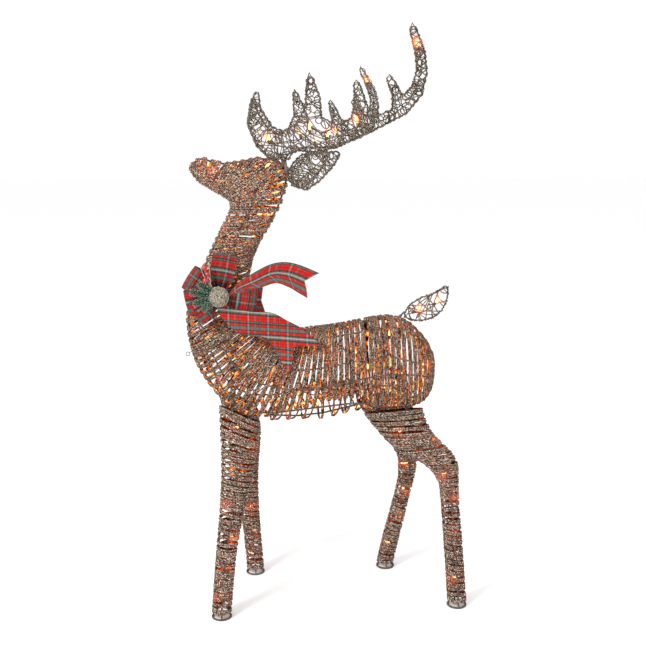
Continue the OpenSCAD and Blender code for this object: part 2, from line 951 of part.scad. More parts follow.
tail_lamps_list = [[[28, 4, 0], [cos(28), sin(28), 0]], [[86, 22, 0], [cos(50), sin(50), 0]]];

module tail_frame() {
  color(wire_color) {
    place_tail() outline_wire(tail_outline);
    tail_socket_rod(post_r, -34, 12);
  }
}

module tail_vine() {
  color(vine_color) difference() {
    place_tail() vine_shell(tail_outline, vine_depth);
    tail_socket_rod(post_r + 0.4, -34, 13);
  }
}

module tail_light_string() {
  color(lead_color) place_tail() {
    wire([[20, 0, 0], [28, 4, 0], [60, 6, 0], [86, 22, 0]], lead_r, [0, 0, 1]);
    for (lamp = tail_lamps_list) holder(lamp);
  }
}

module tail_lamps() {
  place_tail() bulbs(tail_lamps_list);
}

// ---- Bow ----
// Bow shapes are drawn in the plane of the deer's left side: x towards the tail, y upwards,
// z outwards, with the knot at the origin.

bow_knot = [0, -277, 866];
bow_middle_x = 93;
bow_loop_depth = 34;
tie_r = 9.4;
tie_start = 69.2;
tie_len = 25;
ball_r = 27;

// Loops of the bow: [pointing angle, length].
bow_loops_list = [[79, 107], [147, 92], [197, 86], [262, 92], [-5, 100]];

upper_tail_outline = [
  [26, 2], [32, 14], [52, 36], [77, 52], [125, 77], [165, 84], [205, 76], [256, 54],
  [230, 26], [226, -10], [177, 20], [144, 31], [102, 19], [60, 8], [28, -3]
];

lower_tail_outline = [
  [24, -13], [34, -36], [134, -45], [174, -67], [210, -88], [263, -134],
  [192, -162], [178, -205], [150, -164], [123, -114], [67, -101], [30, -84], [13, -48], [12, -26]
];

short_tail_outline = [[40, -4], [40, -30], [120, -54], [107, -16], [114, 14]];

module place_bow(x) {
  multmatrix([
    [0, 0, 1, x],
    [1, 0, 0, bow_knot[1]],
    [0, 1, 0, bow_knot[2]],
    [0, 0, 0, 1]
  ]) children();
}

// The side view of one loop: a band that leaves the knot, turns over and comes back.
function loop_side(length, depth) = [
  [11, -2.4], [length * 0.35, -depth * 0.36], [length * 0.7, -depth * 0.5],
  [length * 0.93, -depth * 0.37], [length, 0], [length * 0.93, depth * 0.37],
  [length * 0.7, depth * 0.5], [length * 0.35, depth * 0.36], [11, 2.4]
];

// One ribbon loop, gathered to a point at the knot.
module bow_loop(length) {
  gather = length * 0.72;
  intersection() {
    rotate([90, 0, 0]) linear_extrude(height = ribbon_w, center = true)
      difference() {
        polygon(loop_side(length, bow_loop_depth));
        offset(delta = -ribbon_t) polygon(loop_side(length, bow_loop_depth));
      }
    linear_extrude(height = bow_loop_depth + 10, center = true)
      polygon([
        [8, -3], [gather, -ribbon_w / 2], [length + 5, -ribbon_w / 2],
        [length + 5, ribbon_w / 2], [gather, ribbon_w / 2], [8, 3]
      ]);
  }
}

module bow_loops() {
  color(tartan_color) place_bow(bow_middle_x)
    for (loop = bow_loops_list) rotate([0, 0, loop[0]]) bow_loop(loop[1]);
}

module bow_tails() {
  color(tartan_color) {
    place_bow(111) linear_extrude(height = ribbon_t) polygon(upper_tail_outline);
    place_bow(114) linear_extrude(height = ribbon_t) polygon(lower_tail_outline);
    place_bow(73) linear_extrude(height = ribbon_t) polygon(short_tail_outline);
  }
}

// The binding wire round the neck and the gathered knot that it holds.
module bow_tie() {
  band = fine_stations(neck_stations, 2)[5];
  color(wire_color) {
    wire(station_ring(band, -1.5), 1.1, station_normal(band), closed = true, sides = 4);
    place_bow(0) translate([0, 0, tie_start]) cylinder(r = tie_r, h = tie_len, $fn = 32);
  }
}

module twig_ball() {
  color(vine_color) place_bow(bow_middle_x + 30) sphere(r = ball_r, $fn = 48);
}

module pine_sprig() {
  color(green_color) place_bow(bow_middle_x + 34) rotate([0, 0, 172]) rotate([0, 80, 0])
    translate([0, 0, 29])
      rotate_extrude($fn = 24)
        polygon([[0, 0], [6, 2], [15, 14], [18, 28], [14, 44], [6, 54], [0, 56]]);
}

// Berries on the bow: [x, y, radius, x of the stem's foot].
berry_spots = [[-34, 75, 7.5, -26], [-27, 59, 5.5, -20], [-32, 42, 7.5, -15]];

module bow_berries() {
  color(berry_color) place_bow(bow_middle_x + 34)
    for (berry = berry_spots) {
      translate([berry[0], berry[1], 0]) sphere(r = berry[2], $fn = 32);
      rod([berry[0], berry[1], 0], [berry[3], 22, -6], 0.9, 16);
    }
}

// ---- Wire clip at the chest ----

module neck_clip() {
  seam = low_end(body_stations[0]) + neck_direction * (seam_gap / 2);
  outside = seam - neck_up * 6;
  inside = seam + neck_up * (wire_inset + 1);
  ring_r = 5;
  color(wire_color) {
    rod(outside, inside, 0.9, 16);
    rod(inside, inside - neck_direction * (hoop_shift - 0.5), 0.9, 16);
    translate(outside - neck_up * (ring_r + 0.2))
      rotate([0, 90, 0])
        rotate_extrude($fn = 32) translate([ring_r, 0]) circle(r = 0.9, $fn = 16);
  }
}

// ---- The whole deer ----

// Puts the origin on the ground under the middle of the overall box, antlers included.
translate([ground_shift_x, ground_shift_y, 0]) {
  body_frame();
  body_wrap();
  leg_sockets();
  neck_sockets();
  tail_socket();
  body_light_string();
  body_lamps();
  neck_frame();
  neck_wrap();
  head_frame();
  head_wrap();
  antler_sockets();
  left_ear_frame();
  left_ear_vine();
  right_ear_frame();
  right_ear_vine();
  head_light_string();
  head_lamps();
  left_antler_frame();
  left_antler_vine();
  left_antler_light_string();
  left_antler_lamps();
  right_antler_frame();
  right_antler_vine();
  right_antler_light_string();
  right_antler_lamps();
  left_fore_leg_frame();
  left_fore_leg_wrap();
  left_fore_leg_light_string();
  left_fore_leg_lamps();
  right_fore_leg_frame();
  right_fore_leg_wrap();
  right_fore_leg_light_string();
  right_fore_leg_lamps();
  left_hind_leg_frame();
  left_hind_leg_wrap();
  left_hind_leg_light_string();
  left_hind_leg_lamps();
  right_hind_leg_frame();
  right_hind_leg_wrap();
  right_hind_leg_light_string();
  right_hind_leg_lamps();
  tail_frame();
  tail_vine();
  tail_light_string();
  tail_lamps();
  bow_loops();
  bow_tails();
  bow_tie();
  pine_sprig();
  bow_berries();
  twig_ball();
  neck_clip();
}
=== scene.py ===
"""The looks of the lighted yard reindeer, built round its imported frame: every turn of twine,
the criss-cross vine, the ribbon bow with its trim, the leads and all the finishes."""
import math

import bpy
import numpy as np
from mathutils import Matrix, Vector
from numpy.linalg import norm


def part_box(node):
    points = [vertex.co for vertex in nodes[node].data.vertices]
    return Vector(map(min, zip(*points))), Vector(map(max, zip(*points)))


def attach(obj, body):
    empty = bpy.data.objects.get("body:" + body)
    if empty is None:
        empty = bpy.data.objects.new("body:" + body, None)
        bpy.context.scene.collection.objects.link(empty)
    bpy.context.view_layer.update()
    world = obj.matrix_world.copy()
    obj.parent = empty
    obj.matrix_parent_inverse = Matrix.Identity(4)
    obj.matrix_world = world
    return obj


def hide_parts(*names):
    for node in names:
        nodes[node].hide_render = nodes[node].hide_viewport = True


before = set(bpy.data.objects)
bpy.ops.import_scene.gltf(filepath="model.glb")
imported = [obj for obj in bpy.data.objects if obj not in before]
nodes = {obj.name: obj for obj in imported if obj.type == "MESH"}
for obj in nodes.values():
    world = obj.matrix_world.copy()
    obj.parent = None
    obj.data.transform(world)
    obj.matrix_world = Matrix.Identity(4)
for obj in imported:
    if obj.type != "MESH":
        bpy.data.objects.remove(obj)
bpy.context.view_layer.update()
rng = np.random.default_rng(11)

# ---- Sizes, in metres ----

TWINE_R = 0.0028          # of one of the two strands that lie side by side
TWINE_SIDES = 10
TWINE_TWIST = 420         # radians in a metre, for the plies
THIN_SIDES = 6            # of every strand thinner than twine
RING_STEP = 0.0045        # between the rings of points along a turn of twine
END_MARGIN = 0.0034       # from a section's end to its first turn
MOST_LEAN = 0.0018        # how far a turn's ends stray along the section
STRAIGHT_ENDS = 0.015     # the stretch at each end where turns don't stray
DIP_DEPTH = 0.0105        # how deep a turn is drawn in where it is tied to a side rail
DIP_WIDTH = 0.013
PAST_ENDS = 0.012         # how far past its plane's ends a turn may still reach the wrap
FEWEST_POINTS = 8         # a plane that meets the wrap in fewer points has no turn
FEWEST_RINGS = 36         # in one turn
SPAN_TO_GIRTH = 3.1       # from a section's height to the length of a turn round it
WIDE_GAP = 0.02           # between turns, where strands lie as much to the surface as to their plane
VINE_R = 0.0013           # of the vine that crosses antlers, ears and tail
BINDING_R = 0.0008        # the thin vine wound along an outline wire
MOST_BULGE = 0.006        # how far a bent strand may bow
THIN_WIRE_R = 0.0018      # outline wire of antlers, ears and tail
VINE_TO_WIRE = 0.0021     # from a CAD vine's edge out to the middle of the outline wire
CUT_INSET = 0.0011        # from a CAD vine's face in to the level where its outline is read
OUTLINE_STEP = 0.004      # between the points of an outline
BINDING_PITCH = 0.0125    # along the wire, for one turn of the binding
TOO_NEAR = 0.006          # a ray starts on the outline, so a hit nearer than this is no hit
SHORTEST_STRAND = 0.009
SLANTS = (8, 50)          # of crossing strands, in degrees off the straight way over
LOOP_R = (0.0065, 0.0105)
LOOP_EVERY = 4            # outline points
RIBBON_W = 0.063
HEM_R = 0.00055           # of the wire along each edge of the ribbon
GROUND = np.array([0.031, -0.006, 0.0])      # under the deer's own middle
KNOT = Vector((0.124, -0.283, 0.866))        # the middle of the bow
BOW_FACE = (0.6, 0.5, 0.6)                   # roughly away from the bow, for strands laid on it
HEM_FACE = (0.3, 0.5, 0.8)                   # along none of the ribbon's edges


# ---- Camera, floor and light ----

def add_to_scene(piece):
    bpy.context.scene.collection.objects.link(piece)


def add_camera():
    """A camera a little in front of the deer's left side, at the height of its shoulders."""
    data = bpy.data.cameras.new("camera")
    data.lens = 52.7
    data.sensor_width = 36
    data.clip_end = 50
    camera = bpy.data.objects.new("camera", data)
    azimuth, distance, height, aim_height = math.radians(84), 2.5, 1.25, 0.77
    middle = Vector(GROUND)
    camera.location = middle + Vector((distance * math.sin(azimuth), -distance * math.cos(azimuth), height))
    aim = middle + Vector((0, 0, aim_height))
    camera.rotation_euler = (aim - camera.location).to_track_quat("-Z", "Y").to_euler()
    add_to_scene(camera)
    bpy.context.scene.camera = camera


def add_area_light(name, place, aim, size, power):
    """A round soft light that faces the point it is aimed at."""
    data = bpy.data.lights.new(name, "AREA")
    data.shape = "DISK"
    data.size = size
    data.energy = power
    light = bpy.data.objects.new(name, data)
    light.location = place
    light.rotation_euler = (Vector(aim) - Vector(place)).to_track_quat("-Z", "Y").to_euler()
    add_to_scene(light)


def add_studio():
    """White surroundings, a soft key from the front left, a weak fill, and a pale floor."""
    world = bpy.data.worlds.new("studio")
    world.use_nodes = True
    background = world.node_tree.nodes["Background"]
    background.inputs["Color"].default_value = (1, 1, 1, 1)
    background.inputs["Strength"].default_value = 1.02
    bpy.context.scene.world = world
    bpy.context.scene.view_settings.view_transform = "Standard"
    add_area_light("key", (1.9, -2.1, 2.7), (0, -0.25, 1.0), 1.2, 95)
    add_area_light("fill", (2.6, 2.2, 1.8), (0, 0, 0.8), 2.0, 20)
    bpy.ops.mesh.primitive_plane_add(size=60, location=(0, 0, 0))
    floor = bpy.context.object
    floor.name = "floor"
    paint = Finish("floor_paint")
    paint.shade(Base_Color=(0.97, 0.97, 0.97), Roughness=1.0)
    floor.data.materials.append(paint.material)


# ---- Materials ----

class Finish:
    """A new node material, with short ways to make its nodes and wire them to the shader."""

    def __init__(self, name):
        self.material = bpy.data.materials.new(name)
        self.material.use_nodes = True
        self.tree = self.material.node_tree
        self.shader = self.tree.nodes["Principled BSDF"]

    def feed(self, socket, value):
        """Gives a socket its value, which may be another node's output, a number or an (r, g, b)."""
        if isinstance(value, bpy.types.NodeSocket):
            self.tree.links.new(value, socket)
        else:
            socket.default_value = (*value, 1) if socket.type == "RGBA" else value

    def node(self, kind, settings=(), **inputs):
        made = self.tree.nodes.new("ShaderNode" + kind)
        for key, value in dict(settings).items():
            setattr(made, key, value)
        for key, value in inputs.items():
            self.feed(made.inputs[key], value)
        return made

    def shade(self, **inputs):
        """Gives the shader's inputs their values. An underscore in a name is a space."""
        for key, value in inputs.items():
            self.feed(self.shader.inputs[key.replace("_", " ")], value)

    def place(self):
        return self.node("TexCoord").outputs["Object"]

    def attribute(self, name, output="Vector"):
        return self.node("Attribute", {"attribute_name": name}).outputs[output]

    def scaled(self, vector, scale):
        return self.node("Mapping", Vector=vector, Scale=scale).outputs["Vector"]

    def split(self, vector):
        return self.node("SeparateXYZ", Vector=vector).outputs

    def noise(self, vector, scale, detail=3.0, roughness=0.6):
        made = self.node("TexNoise", Vector=vector, Scale=scale, Detail=detail, Roughness=roughness)
        return made.outputs["Fac"]

    def ramp(self, value, stops, constant=False):
        """Turns a value into a colour. A stop is (position, colour), and one number is a grey."""
        made = self.node("ValToRGB", Fac=value)
        elements = made.color_ramp.elements
        made.color_ramp.interpolation = "CONSTANT" if constant else "LINEAR"
        while len(elements) < len(stops):
            elements.new(0.5)
        for element, (position, colour) in zip(elements, stops):
            red_green_blue = colour if isinstance(colour, tuple) else (colour,) * 3
            element.position = position
            element.color = (*red_green_blue, 1)
        return made.outputs["Color"]

    def blend(self, kind, factor, a, b):
        made = self.node("Mix", {"data_type": "RGBA", "blend_type": kind})
        colours = [socket for socket in made.inputs if socket.type == "RGBA"]
        for socket, value in zip((made.inputs[0], *colours), (factor, a, b)):
            self.feed(socket, value)
        return next(socket for socket in made.outputs if socket.type == "RGBA")

    def maths(self, operation, a, b=0.0):
        made = self.node("Math", {"operation": operation})
        self.feed(made.inputs[0], a)
        self.feed(made.inputs[1], b)
        return made.outputs[0]

    def times(self, a, b):
        return self.maths("MULTIPLY", a, b)

    def plus(self, a, b):
        return self.maths("ADD", a, b)

    def bump(self, height, strength, distance):
        made = self.node("Bump", Height=height, Strength=strength, Distance=distance)
        self.shade(Normal=made.outputs["Normal"])


# The colour of lamplight on a surface, from none to full.
GLOW_STOPS = (
    (0.0, 0), (0.1, (0.18, 0.014, 0.0)), (0.28, (0.6, 0.066, 0.0)),
    (0.52, (1.0, 0.24, 0.004)), (0.76, (1.0, 0.5, 0.05)), (1.0, (1.0, 0.86, 0.4)),
)


def outer_share(m):
    """How far out a point of a strand is: 0 on its inner side, 1 on its outer side."""
    return m.plus(m.times(m.split(m.attribute("strand"))[2], 0.5), 0.5)


def add_glow(m, strength, inside=0.0):
    """Lamp light, from the halo and spill that each surface point holds, broken up by the fibres.
    Faces turned into a lit section take patches of the spill."""
    halo, spill, _ = m.split(m.attribute("glow"))
    level = m.times(halo, m.plus(m.times(m.noise(m.place(), 160, 2.0), 1.6), 0.2))
    if inside:
        turned_in = m.ramp(m.maths("SUBTRACT", 1.0, outer_share(m)), ((0.26, 0), (0.58, 1)))
        pools = m.ramp(m.noise(m.place(), 60), ((0.44, 0), (0.54, 0.35), (0.68, 1.2)))
        level = m.plus(level, m.times(m.times(m.times(turned_in, pools), spill), inside))
    m.shade(Emission_Color=m.ramp(level, GLOW_STOPS), Emission_Strength=strength)


def shaded_side(m, colour):
    """Darkens a strand towards its inner side, where neighbouring turns shade it."""
    shade = m.ramp(outer_share(m), ((0.42, 0.04), (0.66, 0.46), (0.84, 1)))
    return m.blend("MULTIPLY", 1.0, colour, shade)


def twine_material():
    """Twisted rattan-look twine: brown fibres under a thin whitewash with dark pores and pale glossy specks
    painted as glints.
    """
    m = Finish("whitewashed_twine")
    strand, place = m.attribute("strand"), m.place()
    fibres = m.noise(m.scaled(strand, (105, 0.8, 0)), 1.0, 4.0, 0.72)
    wash = m.noise(m.scaled(strand, (150, 1.1, 0)), 1.0, 3.0, 0.7)
    base = m.ramp(fibres, (
        (0.43, (0.006, 0.004, 0.003)), (0.5, (0.034, 0.021, 0.014)), (0.54, (0.12, 0.078, 0.055)),
        (0.59, (0.36, 0.275, 0.22)), (0.66, (0.86, 0.76, 0.65)),
    ))
    warm = m.ramp(m.noise(place, 120), ((0.42, 0), (0.58, 0.7)))
    tinted = m.blend("MIX", warm, base, (0.21, 0.095, 0.055))
    cold = m.ramp(m.noise(place, 210, 2.0), ((0.55, 0), (0.7, 0.55)))
    greyed = m.blend("MIX", cold, tinted, (0.2, 0.225, 0.19))
    frost = m.ramp(wash, ((0.53, 0), (0.6, 0.95)))
    washed = m.blend("MIX", frost, greyed, (0.98, 0.83, 0.66))
    pores = m.ramp(m.noise(place, 230), ((0.46, 0), (0.54, 0.92)))
    pitted = m.blend("MULTIPLY", pores, washed, (0.18, 0.13, 0.11))
    # Painted glints: pale specks put into the base colour, where the twine is also made glossier.
    specks = m.node("TexVoronoi", Vector=place, Scale=360).outputs["Distance"]
    glint = m.ramp(specks, ((0.15, 1), (0.25, 0)))
    with_painted_glints = m.blend("MIX", glint, pitted, (0.95, 0.85, 0.68))
    # Darker by each strand's tone, which differs at random. The torso's higher tone range is painted shade
    # of its dense inside, and the belly loops take the highest range.
    tone_darkening = m.times(m.attribute("tone", "Fac"), 0.8)
    toned_with_body_shade = m.blend("MULTIPLY", tone_darkening, with_painted_glints, (0.5, 0.46, 0.41))
    m.shade(Base_Color=shaded_side(m, toned_with_body_shade), Roughness=m.ramp(glint, ((0.0, 0.8), (1.0, 0.2))),
            Specular_IOR_Level=0.12)
    m.bump(m.plus(fibres, m.times(wash, 0.6)), 0.9, 0.0016)
    add_glow(m, 1.6, inside=0.95)
    return m.material


def vine_material():
    """Thin dark twig vine with a worn whitewash."""
    m = Finish("twig_vine")
    fibres = m.noise(m.scaled(m.attribute("strand"), (190, 3, 0)), 1.0)
    base = m.ramp(fibres, (
        (0.44, (0.006, 0.004, 0.003)), (0.51, (0.035, 0.023, 0.015)), (0.57, (0.26, 0.18, 0.12)),
        (0.63, (0.86, 0.71, 0.55)),
    ))
    tone_darkening = m.times(m.attribute("tone", "Fac"), 0.3)
    m.shade(Base_Color=m.blend("MIX", tone_darkening, base, (0.08, 0.062, 0.05)), Roughness=0.72,
            Specular_IOR_Level=0.12)
    m.bump(fibres, 0.6, 0.0006)
    add_glow(m, 1.1)
    return m.material


def wire_material(name, dark, pale):
    """Powder-coated wire: fine orange peel with rubbed edges and a little dust."""
    m = Finish(name)
    wear = m.noise(m.place(), 60, 5.0)
    between = tuple((d + p) / 2 for d, p in zip(dark, pale))
    m.shade(Base_Color=m.ramp(wear, ((0.35, dark), (0.6, between), (0.78, pale))),
            Roughness=m.ramp(wear, ((0.3, 0.42), (0.8, 0.68))), Metallic=0.25)
    m.bump(m.plus(m.noise(m.place(), 1400, 2.0), wear), 0.35, 0.0004)
    return m.material


def lead_material():
    """Insulated twisted lead and moulded lamp holders."""
    m = Finish("brown_lead")
    mottled = m.noise(m.place(), 240)
    m.shade(Base_Color=m.ramp(mottled, ((0.35, (0.045, 0.028, 0.014)), (0.7, (0.11, 0.072, 0.038)))),
            Roughness=m.ramp(mottled, ((0.3, 0.35), (0.8, 0.5))))
    m.bump(m.noise(m.place(), 900, 2.0), 0.25, 0.0003)
    return m.material


def bulb_material():
    """Clear mini lamp, lit: a hot core of filament light in thin amber glass."""
    m = Finish("lit_lamp")
    swirl = m.noise(m.place(), 300, 2.0)
    colour = m.ramp(swirl, ((0.35, (1.0, 0.42, 0.06)), (0.65, (1.0, 0.75, 0.3))))
    m.shade(Base_Color=colour, Emission_Color=colour, Emission_Strength=2.4, Coat_Weight=0.6,
            Roughness=m.ramp(swirl, ((0.3, 0.05), (0.7, 0.12))))
    return m.material


TEAL = (0.008, 0.03, 0.03)
GREY = (0.075, 0.14, 0.12)
RED = (0.54, 0.011, 0.006)
DARK_RED = (0.2, 0.008, 0.006)
CREAM = (0.33, 0.38, 0.32)

# One repeat of the tartan across the ribbon's width: [where a stripe starts, its colour].
TARTAN_SETT = (
    (0.0, TEAL), (0.03, GREY), (0.07, TEAL), (0.1, RED), (0.2, DARK_RED), (0.23, RED), (0.32, TEAL),
    (0.39, GREY), (0.44, CREAM), (0.49, GREY), (0.53, TEAL), (0.59, RED), (0.69, TEAL), (0.73, GREY),
    (0.86, TEAL), (0.89, RED), (0.96, TEAL),
)


def tartan_stripes(m, place, repeat):
    """The colour of the tartan at a place across its stripes, for a given width of one repeat."""
    return m.ramp(m.maths("FRACT", m.maths("DIVIDE", place, repeat)), TARTAN_SETT, constant=True)


def ribbon_material():
    """Woven tartan ribbon: lengthwise and cross stripes that show through each other in a twill."""
    m = Finish("tartan_ribbon")
    cloth = m.attribute("cloth")
    along, across, pleat_shade = m.split(cloth)
    warp = tartan_stripes(m, across, RIBBON_W * 1.0001)
    weft = tartan_stripes(m, along, RIBBON_W * 0.8)
    twill = m.maths("FRACT", m.times(m.plus(along, across), 900))
    over = m.ramp(twill, ((0.42, 0.17), (0.58, 0.42)))
    # Painted shade: the cloth's third value darkens the weave where the pleats lie in shade.
    woven = m.blend("MULTIPLY", pleat_shade, m.blend("MIX", over, warp, weft), (0.3, 0.3, 0.32))
    threads = m.noise(m.scaled(cloth, (2500, 2500, 1)), 1.0, 2.0)
    dusty = m.blend("MULTIPLY", 0.5, woven, m.ramp(threads, ((0.3, 0.5), (0.7, 1.0))))
    m.shade(Base_Color=dusty, Roughness=m.ramp(threads, ((0.3, 0.62), (0.7, 0.82))), Specular_IOR_Level=0.1)
    m.bump(m.plus(twill, threads), 0.35, 0.0003)
    return m.material


def plain_material(name, dark, pale, scale, roughness, coat=0.0):
    """A mottled finish with its own grain, for small trim."""
    m = Finish(name)
    mottled = m.noise(m.place(), scale, 4.0)
    low, high = roughness
    m.shade(Base_Color=m.ramp(mottled, ((0.32, dark), (0.7, pale))), Coat_Weight=coat,
            Roughness=m.ramp(mottled, ((0.3, low), (0.75, high))))
    m.bump(m.noise(m.place(), scale * 4, 2.0), 0.4, 0.0004)
    return m.material


def needle_material():
    """Dark green needles whose ends are frosted, by the needle's own length."""
    m = Finish("frosted_needles")
    speckle = m.noise(m.place(), 500, 2.0)
    green = m.ramp(speckle, ((0.35, (0.008, 0.035, 0.014)), (0.65, (0.03, 0.1, 0.035))))
    frost = m.times(m.ramp(m.attribute("tip", "Fac"), ((0.62, 0), (0.95, 1))), speckle)
    m.shade(Base_Color=m.blend("MIX", frost, green, (0.72, 0.78, 0.72)), Roughness=0.55)
    return m.material


# ---- Mesh helpers ----

UV_ROW = 150            # rings of a strand in one row of the UV square
UV_FILL = 0.92          # share of a row's height that the strand takes
LOBE_DEPTH = 0.14       # how far the plies of twine stand proud, as a share of its radius


def mesh_object(name, points, quads, caps, attributes, uvs, material):
    """A mesh from numpy arrays: quads is N x 4, caps is a list of rings of vertex numbers, and uvs
    is the quads' corners in order."""
    mesh = bpy.data.meshes.new(name)
    loops = np.concatenate([quads.ravel(), *[np.asarray(c) for c in caps]]).astype(np.int32)
    totals = np.array([4] * len(quads) + [len(c) for c in caps], np.int32)
    starts = np.concatenate([[0], np.cumsum(totals)[:-1]]).astype(np.int32)
    mesh.vertices.add(len(points))
    mesh.vertices.foreach_set("co", np.asarray(points, np.float32).ravel())
    mesh.loops.add(len(loops))
    mesh.loops.foreach_set("vertex_index", loops)
    mesh.polygons.add(len(totals))
    mesh.polygons.foreach_set("loop_start", starts)
    mesh.polygons.foreach_set("loop_total", totals)
    mesh.polygons.foreach_set("use_smooth", np.full(len(totals), True))
    for key, values in attributes.items():
        values = np.asarray(values, np.float32)
        kind = "FLOAT_VECTOR" if values.ndim == 2 else "FLOAT"
        made = mesh.attributes.new(key, kind, "POINT")
        made.data.foreach_set("vector" if values.ndim == 2 else "value", values.ravel())
    layer = mesh.uv_layers.new(name="OFBake")
    cap_uvs = np.zeros((len(loops) - len(uvs), 2), np.float32)
    layer.data.foreach_set("uv", np.concatenate([uvs, cap_uvs]).astype(np.float32).ravel())
    mesh.update(calc_edges=True)
    mesh.validate()
    mesh.materials.append(material)
    made = bpy.data.objects.new(name, mesh)
    add_to_scene(made)
    return made


def unit_rows(vectors):
    return vectors / np.maximum(norm(vectors, axis=-1, keepdims=True), 1e-9)


def unit(vector):
    return unit_rows(np.asarray(vector)[None])[0]


def compass(degrees):
    return math.cos(math.radians(degrees)), math.sin(math.radians(degrees))


def travelled_along(path):
    """The distance along a path at each of its points."""
    return np.concatenate([[0], np.cumsum(norm(np.diff(path, axis=0), axis=1))])


def columns_at(at, places, values):
    """The rows of values, which lie at the given places, read off at other places."""
    return np.stack([np.interp(at, places, values[:, k]) for k in range(values.shape[1])], -1)


def grid_of(down, across):
    """Every pair of a value down and a value across, as a grid of 2D points."""
    return np.stack(np.meshgrid(down, across, indexing="ij"), -1)


def grid_faces(first, rows, columns):
    """The quads between rings of points round a strand, whose first point has the number given."""
    starts = first + np.arange(rows - 1)[:, None] * columns
    here = np.arange(columns)[None, :]
    there = (here + 1) % columns
    corners = [starts + here, starts + there, starts + columns + there, starts + columns + here]
    return np.stack(corners, -1).reshape(-1, 4)


def uv_rows_for(length):
    return max(1, math.ceil((length - 1) / UV_ROW))


def strand_uvs(length, sides, row, rows):
    """A strand unrolled in rows of the UV square, UV_ROW rings to a row, from the row given."""
    ring = np.arange(length - 1)
    left, bottom = (ring % UV_ROW) / UV_ROW, (row + ring // UV_ROW) / rows
    right = left + 1 / UV_ROW
    share = np.arange(sides) / sides * UV_FILL / rows
    low = bottom[:, None] + share[None, :]
    high = bottom[:, None] + (share + UV_FILL / rows / sides)[None, :]
    left, right = left[:, None] + 0 * low, right[:, None] + 0 * low
    corners = [np.stack(corner, -1) for corner in ((left, low), (left, high), (right, high), (right, low))]
    return np.stack(corners, 2).reshape(-1, 2)


def sweep(name, strands, sides, material, lamps=(), reach=(0.012, 0.05), lobes=0, twist=0.0, rough=0.0,
          tones=(0, 1)):
    """One mesh of many round strands. A strand is (path, outward directions, radius or radii).
    Reach is how far a lamp's halo and spill go, lobes the plies of a strand that turn by twist,
    rough the share by which radii stray, and tones the range for the tone of each strand."""
    points, quads, caps, uvs, strand, tone, outward = [], [], [], [], [], [], []
    rows = sum(uv_rows_for(len(path)) for path, _, _ in strands)
    angles = np.arange(sides) * 2 * math.pi / sides
    count = row = 0
    for path, ref, radius in strands:
        path = np.asarray(path, float)
        n = len(path)
        run = unit_rows(np.gradient(path, axis=0))
        side = unit_rows(np.cross(run, np.broadcast_to(np.asarray(ref, float), path.shape)))
        up = np.cross(side, run)
        travelled = travelled_along(path)
        radii = np.broadcast_to(np.asarray(radius, float), n)[:, None] * np.ones((n, sides))
        if lobes:
            radii = radii * (1 + LOBE_DEPTH * np.cos(lobes * (travelled[:, None] * twist + angles)))
        if rough:
            radii = radii * (1 + rough * rng.standard_normal((n, sides)))
        spoke = np.cos(angles)[:, None] * side[:, None, :] + np.sin(angles)[:, None] * up[:, None, :]
        points.append((path[:, None, :] + spoke * radii[:, :, None]).reshape(-1, 3))
        outward.append(spoke.reshape(-1, 3))
        quads.append(grid_faces(count, n, sides))
        caps.append(count + np.arange(sides)[::-1])
        caps.append(count + (n - 1) * sides + np.arange(sides))
        along = np.repeat(travelled + rng.random() * 10, sides)
        around = np.tile(angles, n) + np.repeat(travelled * twist, sides)
        strand.append(np.stack([along, around, np.tile(np.sin(angles), n)], 1))
        tone.append(np.full(n * sides, rng.uniform(*tones)))
        uvs.append(strand_uvs(n, sides, row, rows))
        row += uv_rows_for(n)
        count += n * sides
    points, outward = np.concatenate(points), np.concatenate(outward)
    attributes = {
        "strand": np.concatenate(strand), "tone": np.concatenate(tone),
        "glow": lamp_glow(points, outward, lamps, *reach),
    }
    return mesh_object(name, points, np.concatenate(quads), caps, attributes, np.concatenate(uvs), material)


def lamp_glow(points, outward, lamps, near, far):
    """The lamp light at each surface point: a halo close to a lamp, brighter on faces that look
    towards it, and the spill of all the lamps around."""
    halo, spill = np.zeros(len(points)), np.zeros(len(points))
    for lamp in lamps:
        way = np.asarray(lamp) - points
        distance = norm(way, axis=1)
        facing = np.clip((outward * way).sum(1) / np.maximum(distance, 1e-6), 0, 1)
        halo += (0.8 + 0.4 * facing) / (1 + (distance / near) ** 4)
        spill += 0.5 / (1 + (distance / far) ** 2)
    return np.stack([np.clip(halo, 0, 1), np.clip(spill, 0, 1), 0 * halo], 1)


# ---- Reading the frame ----

def cad_arrays(name):
    """The points and triangles of a CAD node."""
    mesh = nodes[name].data
    points = np.zeros(len(mesh.vertices) * 3)
    mesh.vertices.foreach_get("co", points)
    mesh.calc_loop_triangles()
    triangles = np.zeros(len(mesh.loop_triangles) * 3, np.int32)
    mesh.loop_triangles.foreach_get("vertices", triangles)
    return points.reshape(-1, 3), triangles.reshape(-1, 3)


def welded(points, triangles):
    """The same mesh with points at one place made one, so that its pieces can be told apart."""
    _, first, back = np.unique(np.round(points, 5), axis=0, return_index=True, return_inverse=True)
    return points[first], back.ravel()[triangles]


def lamp_centres(name):
    """The middle of each separate bulb in a lamps node."""
    points, triangles = welded(*cad_arrays(name))
    label = np.arange(len(points))
    while True:
        lowest = label[triangles].min(1)
        new = label.copy()
        for k in range(3):
            np.minimum.at(new, triangles[:, k], lowest)
        if (new == label).all():
            break
        label = new
    return [points[label == k].mean(0) for k in np.unique(label)]


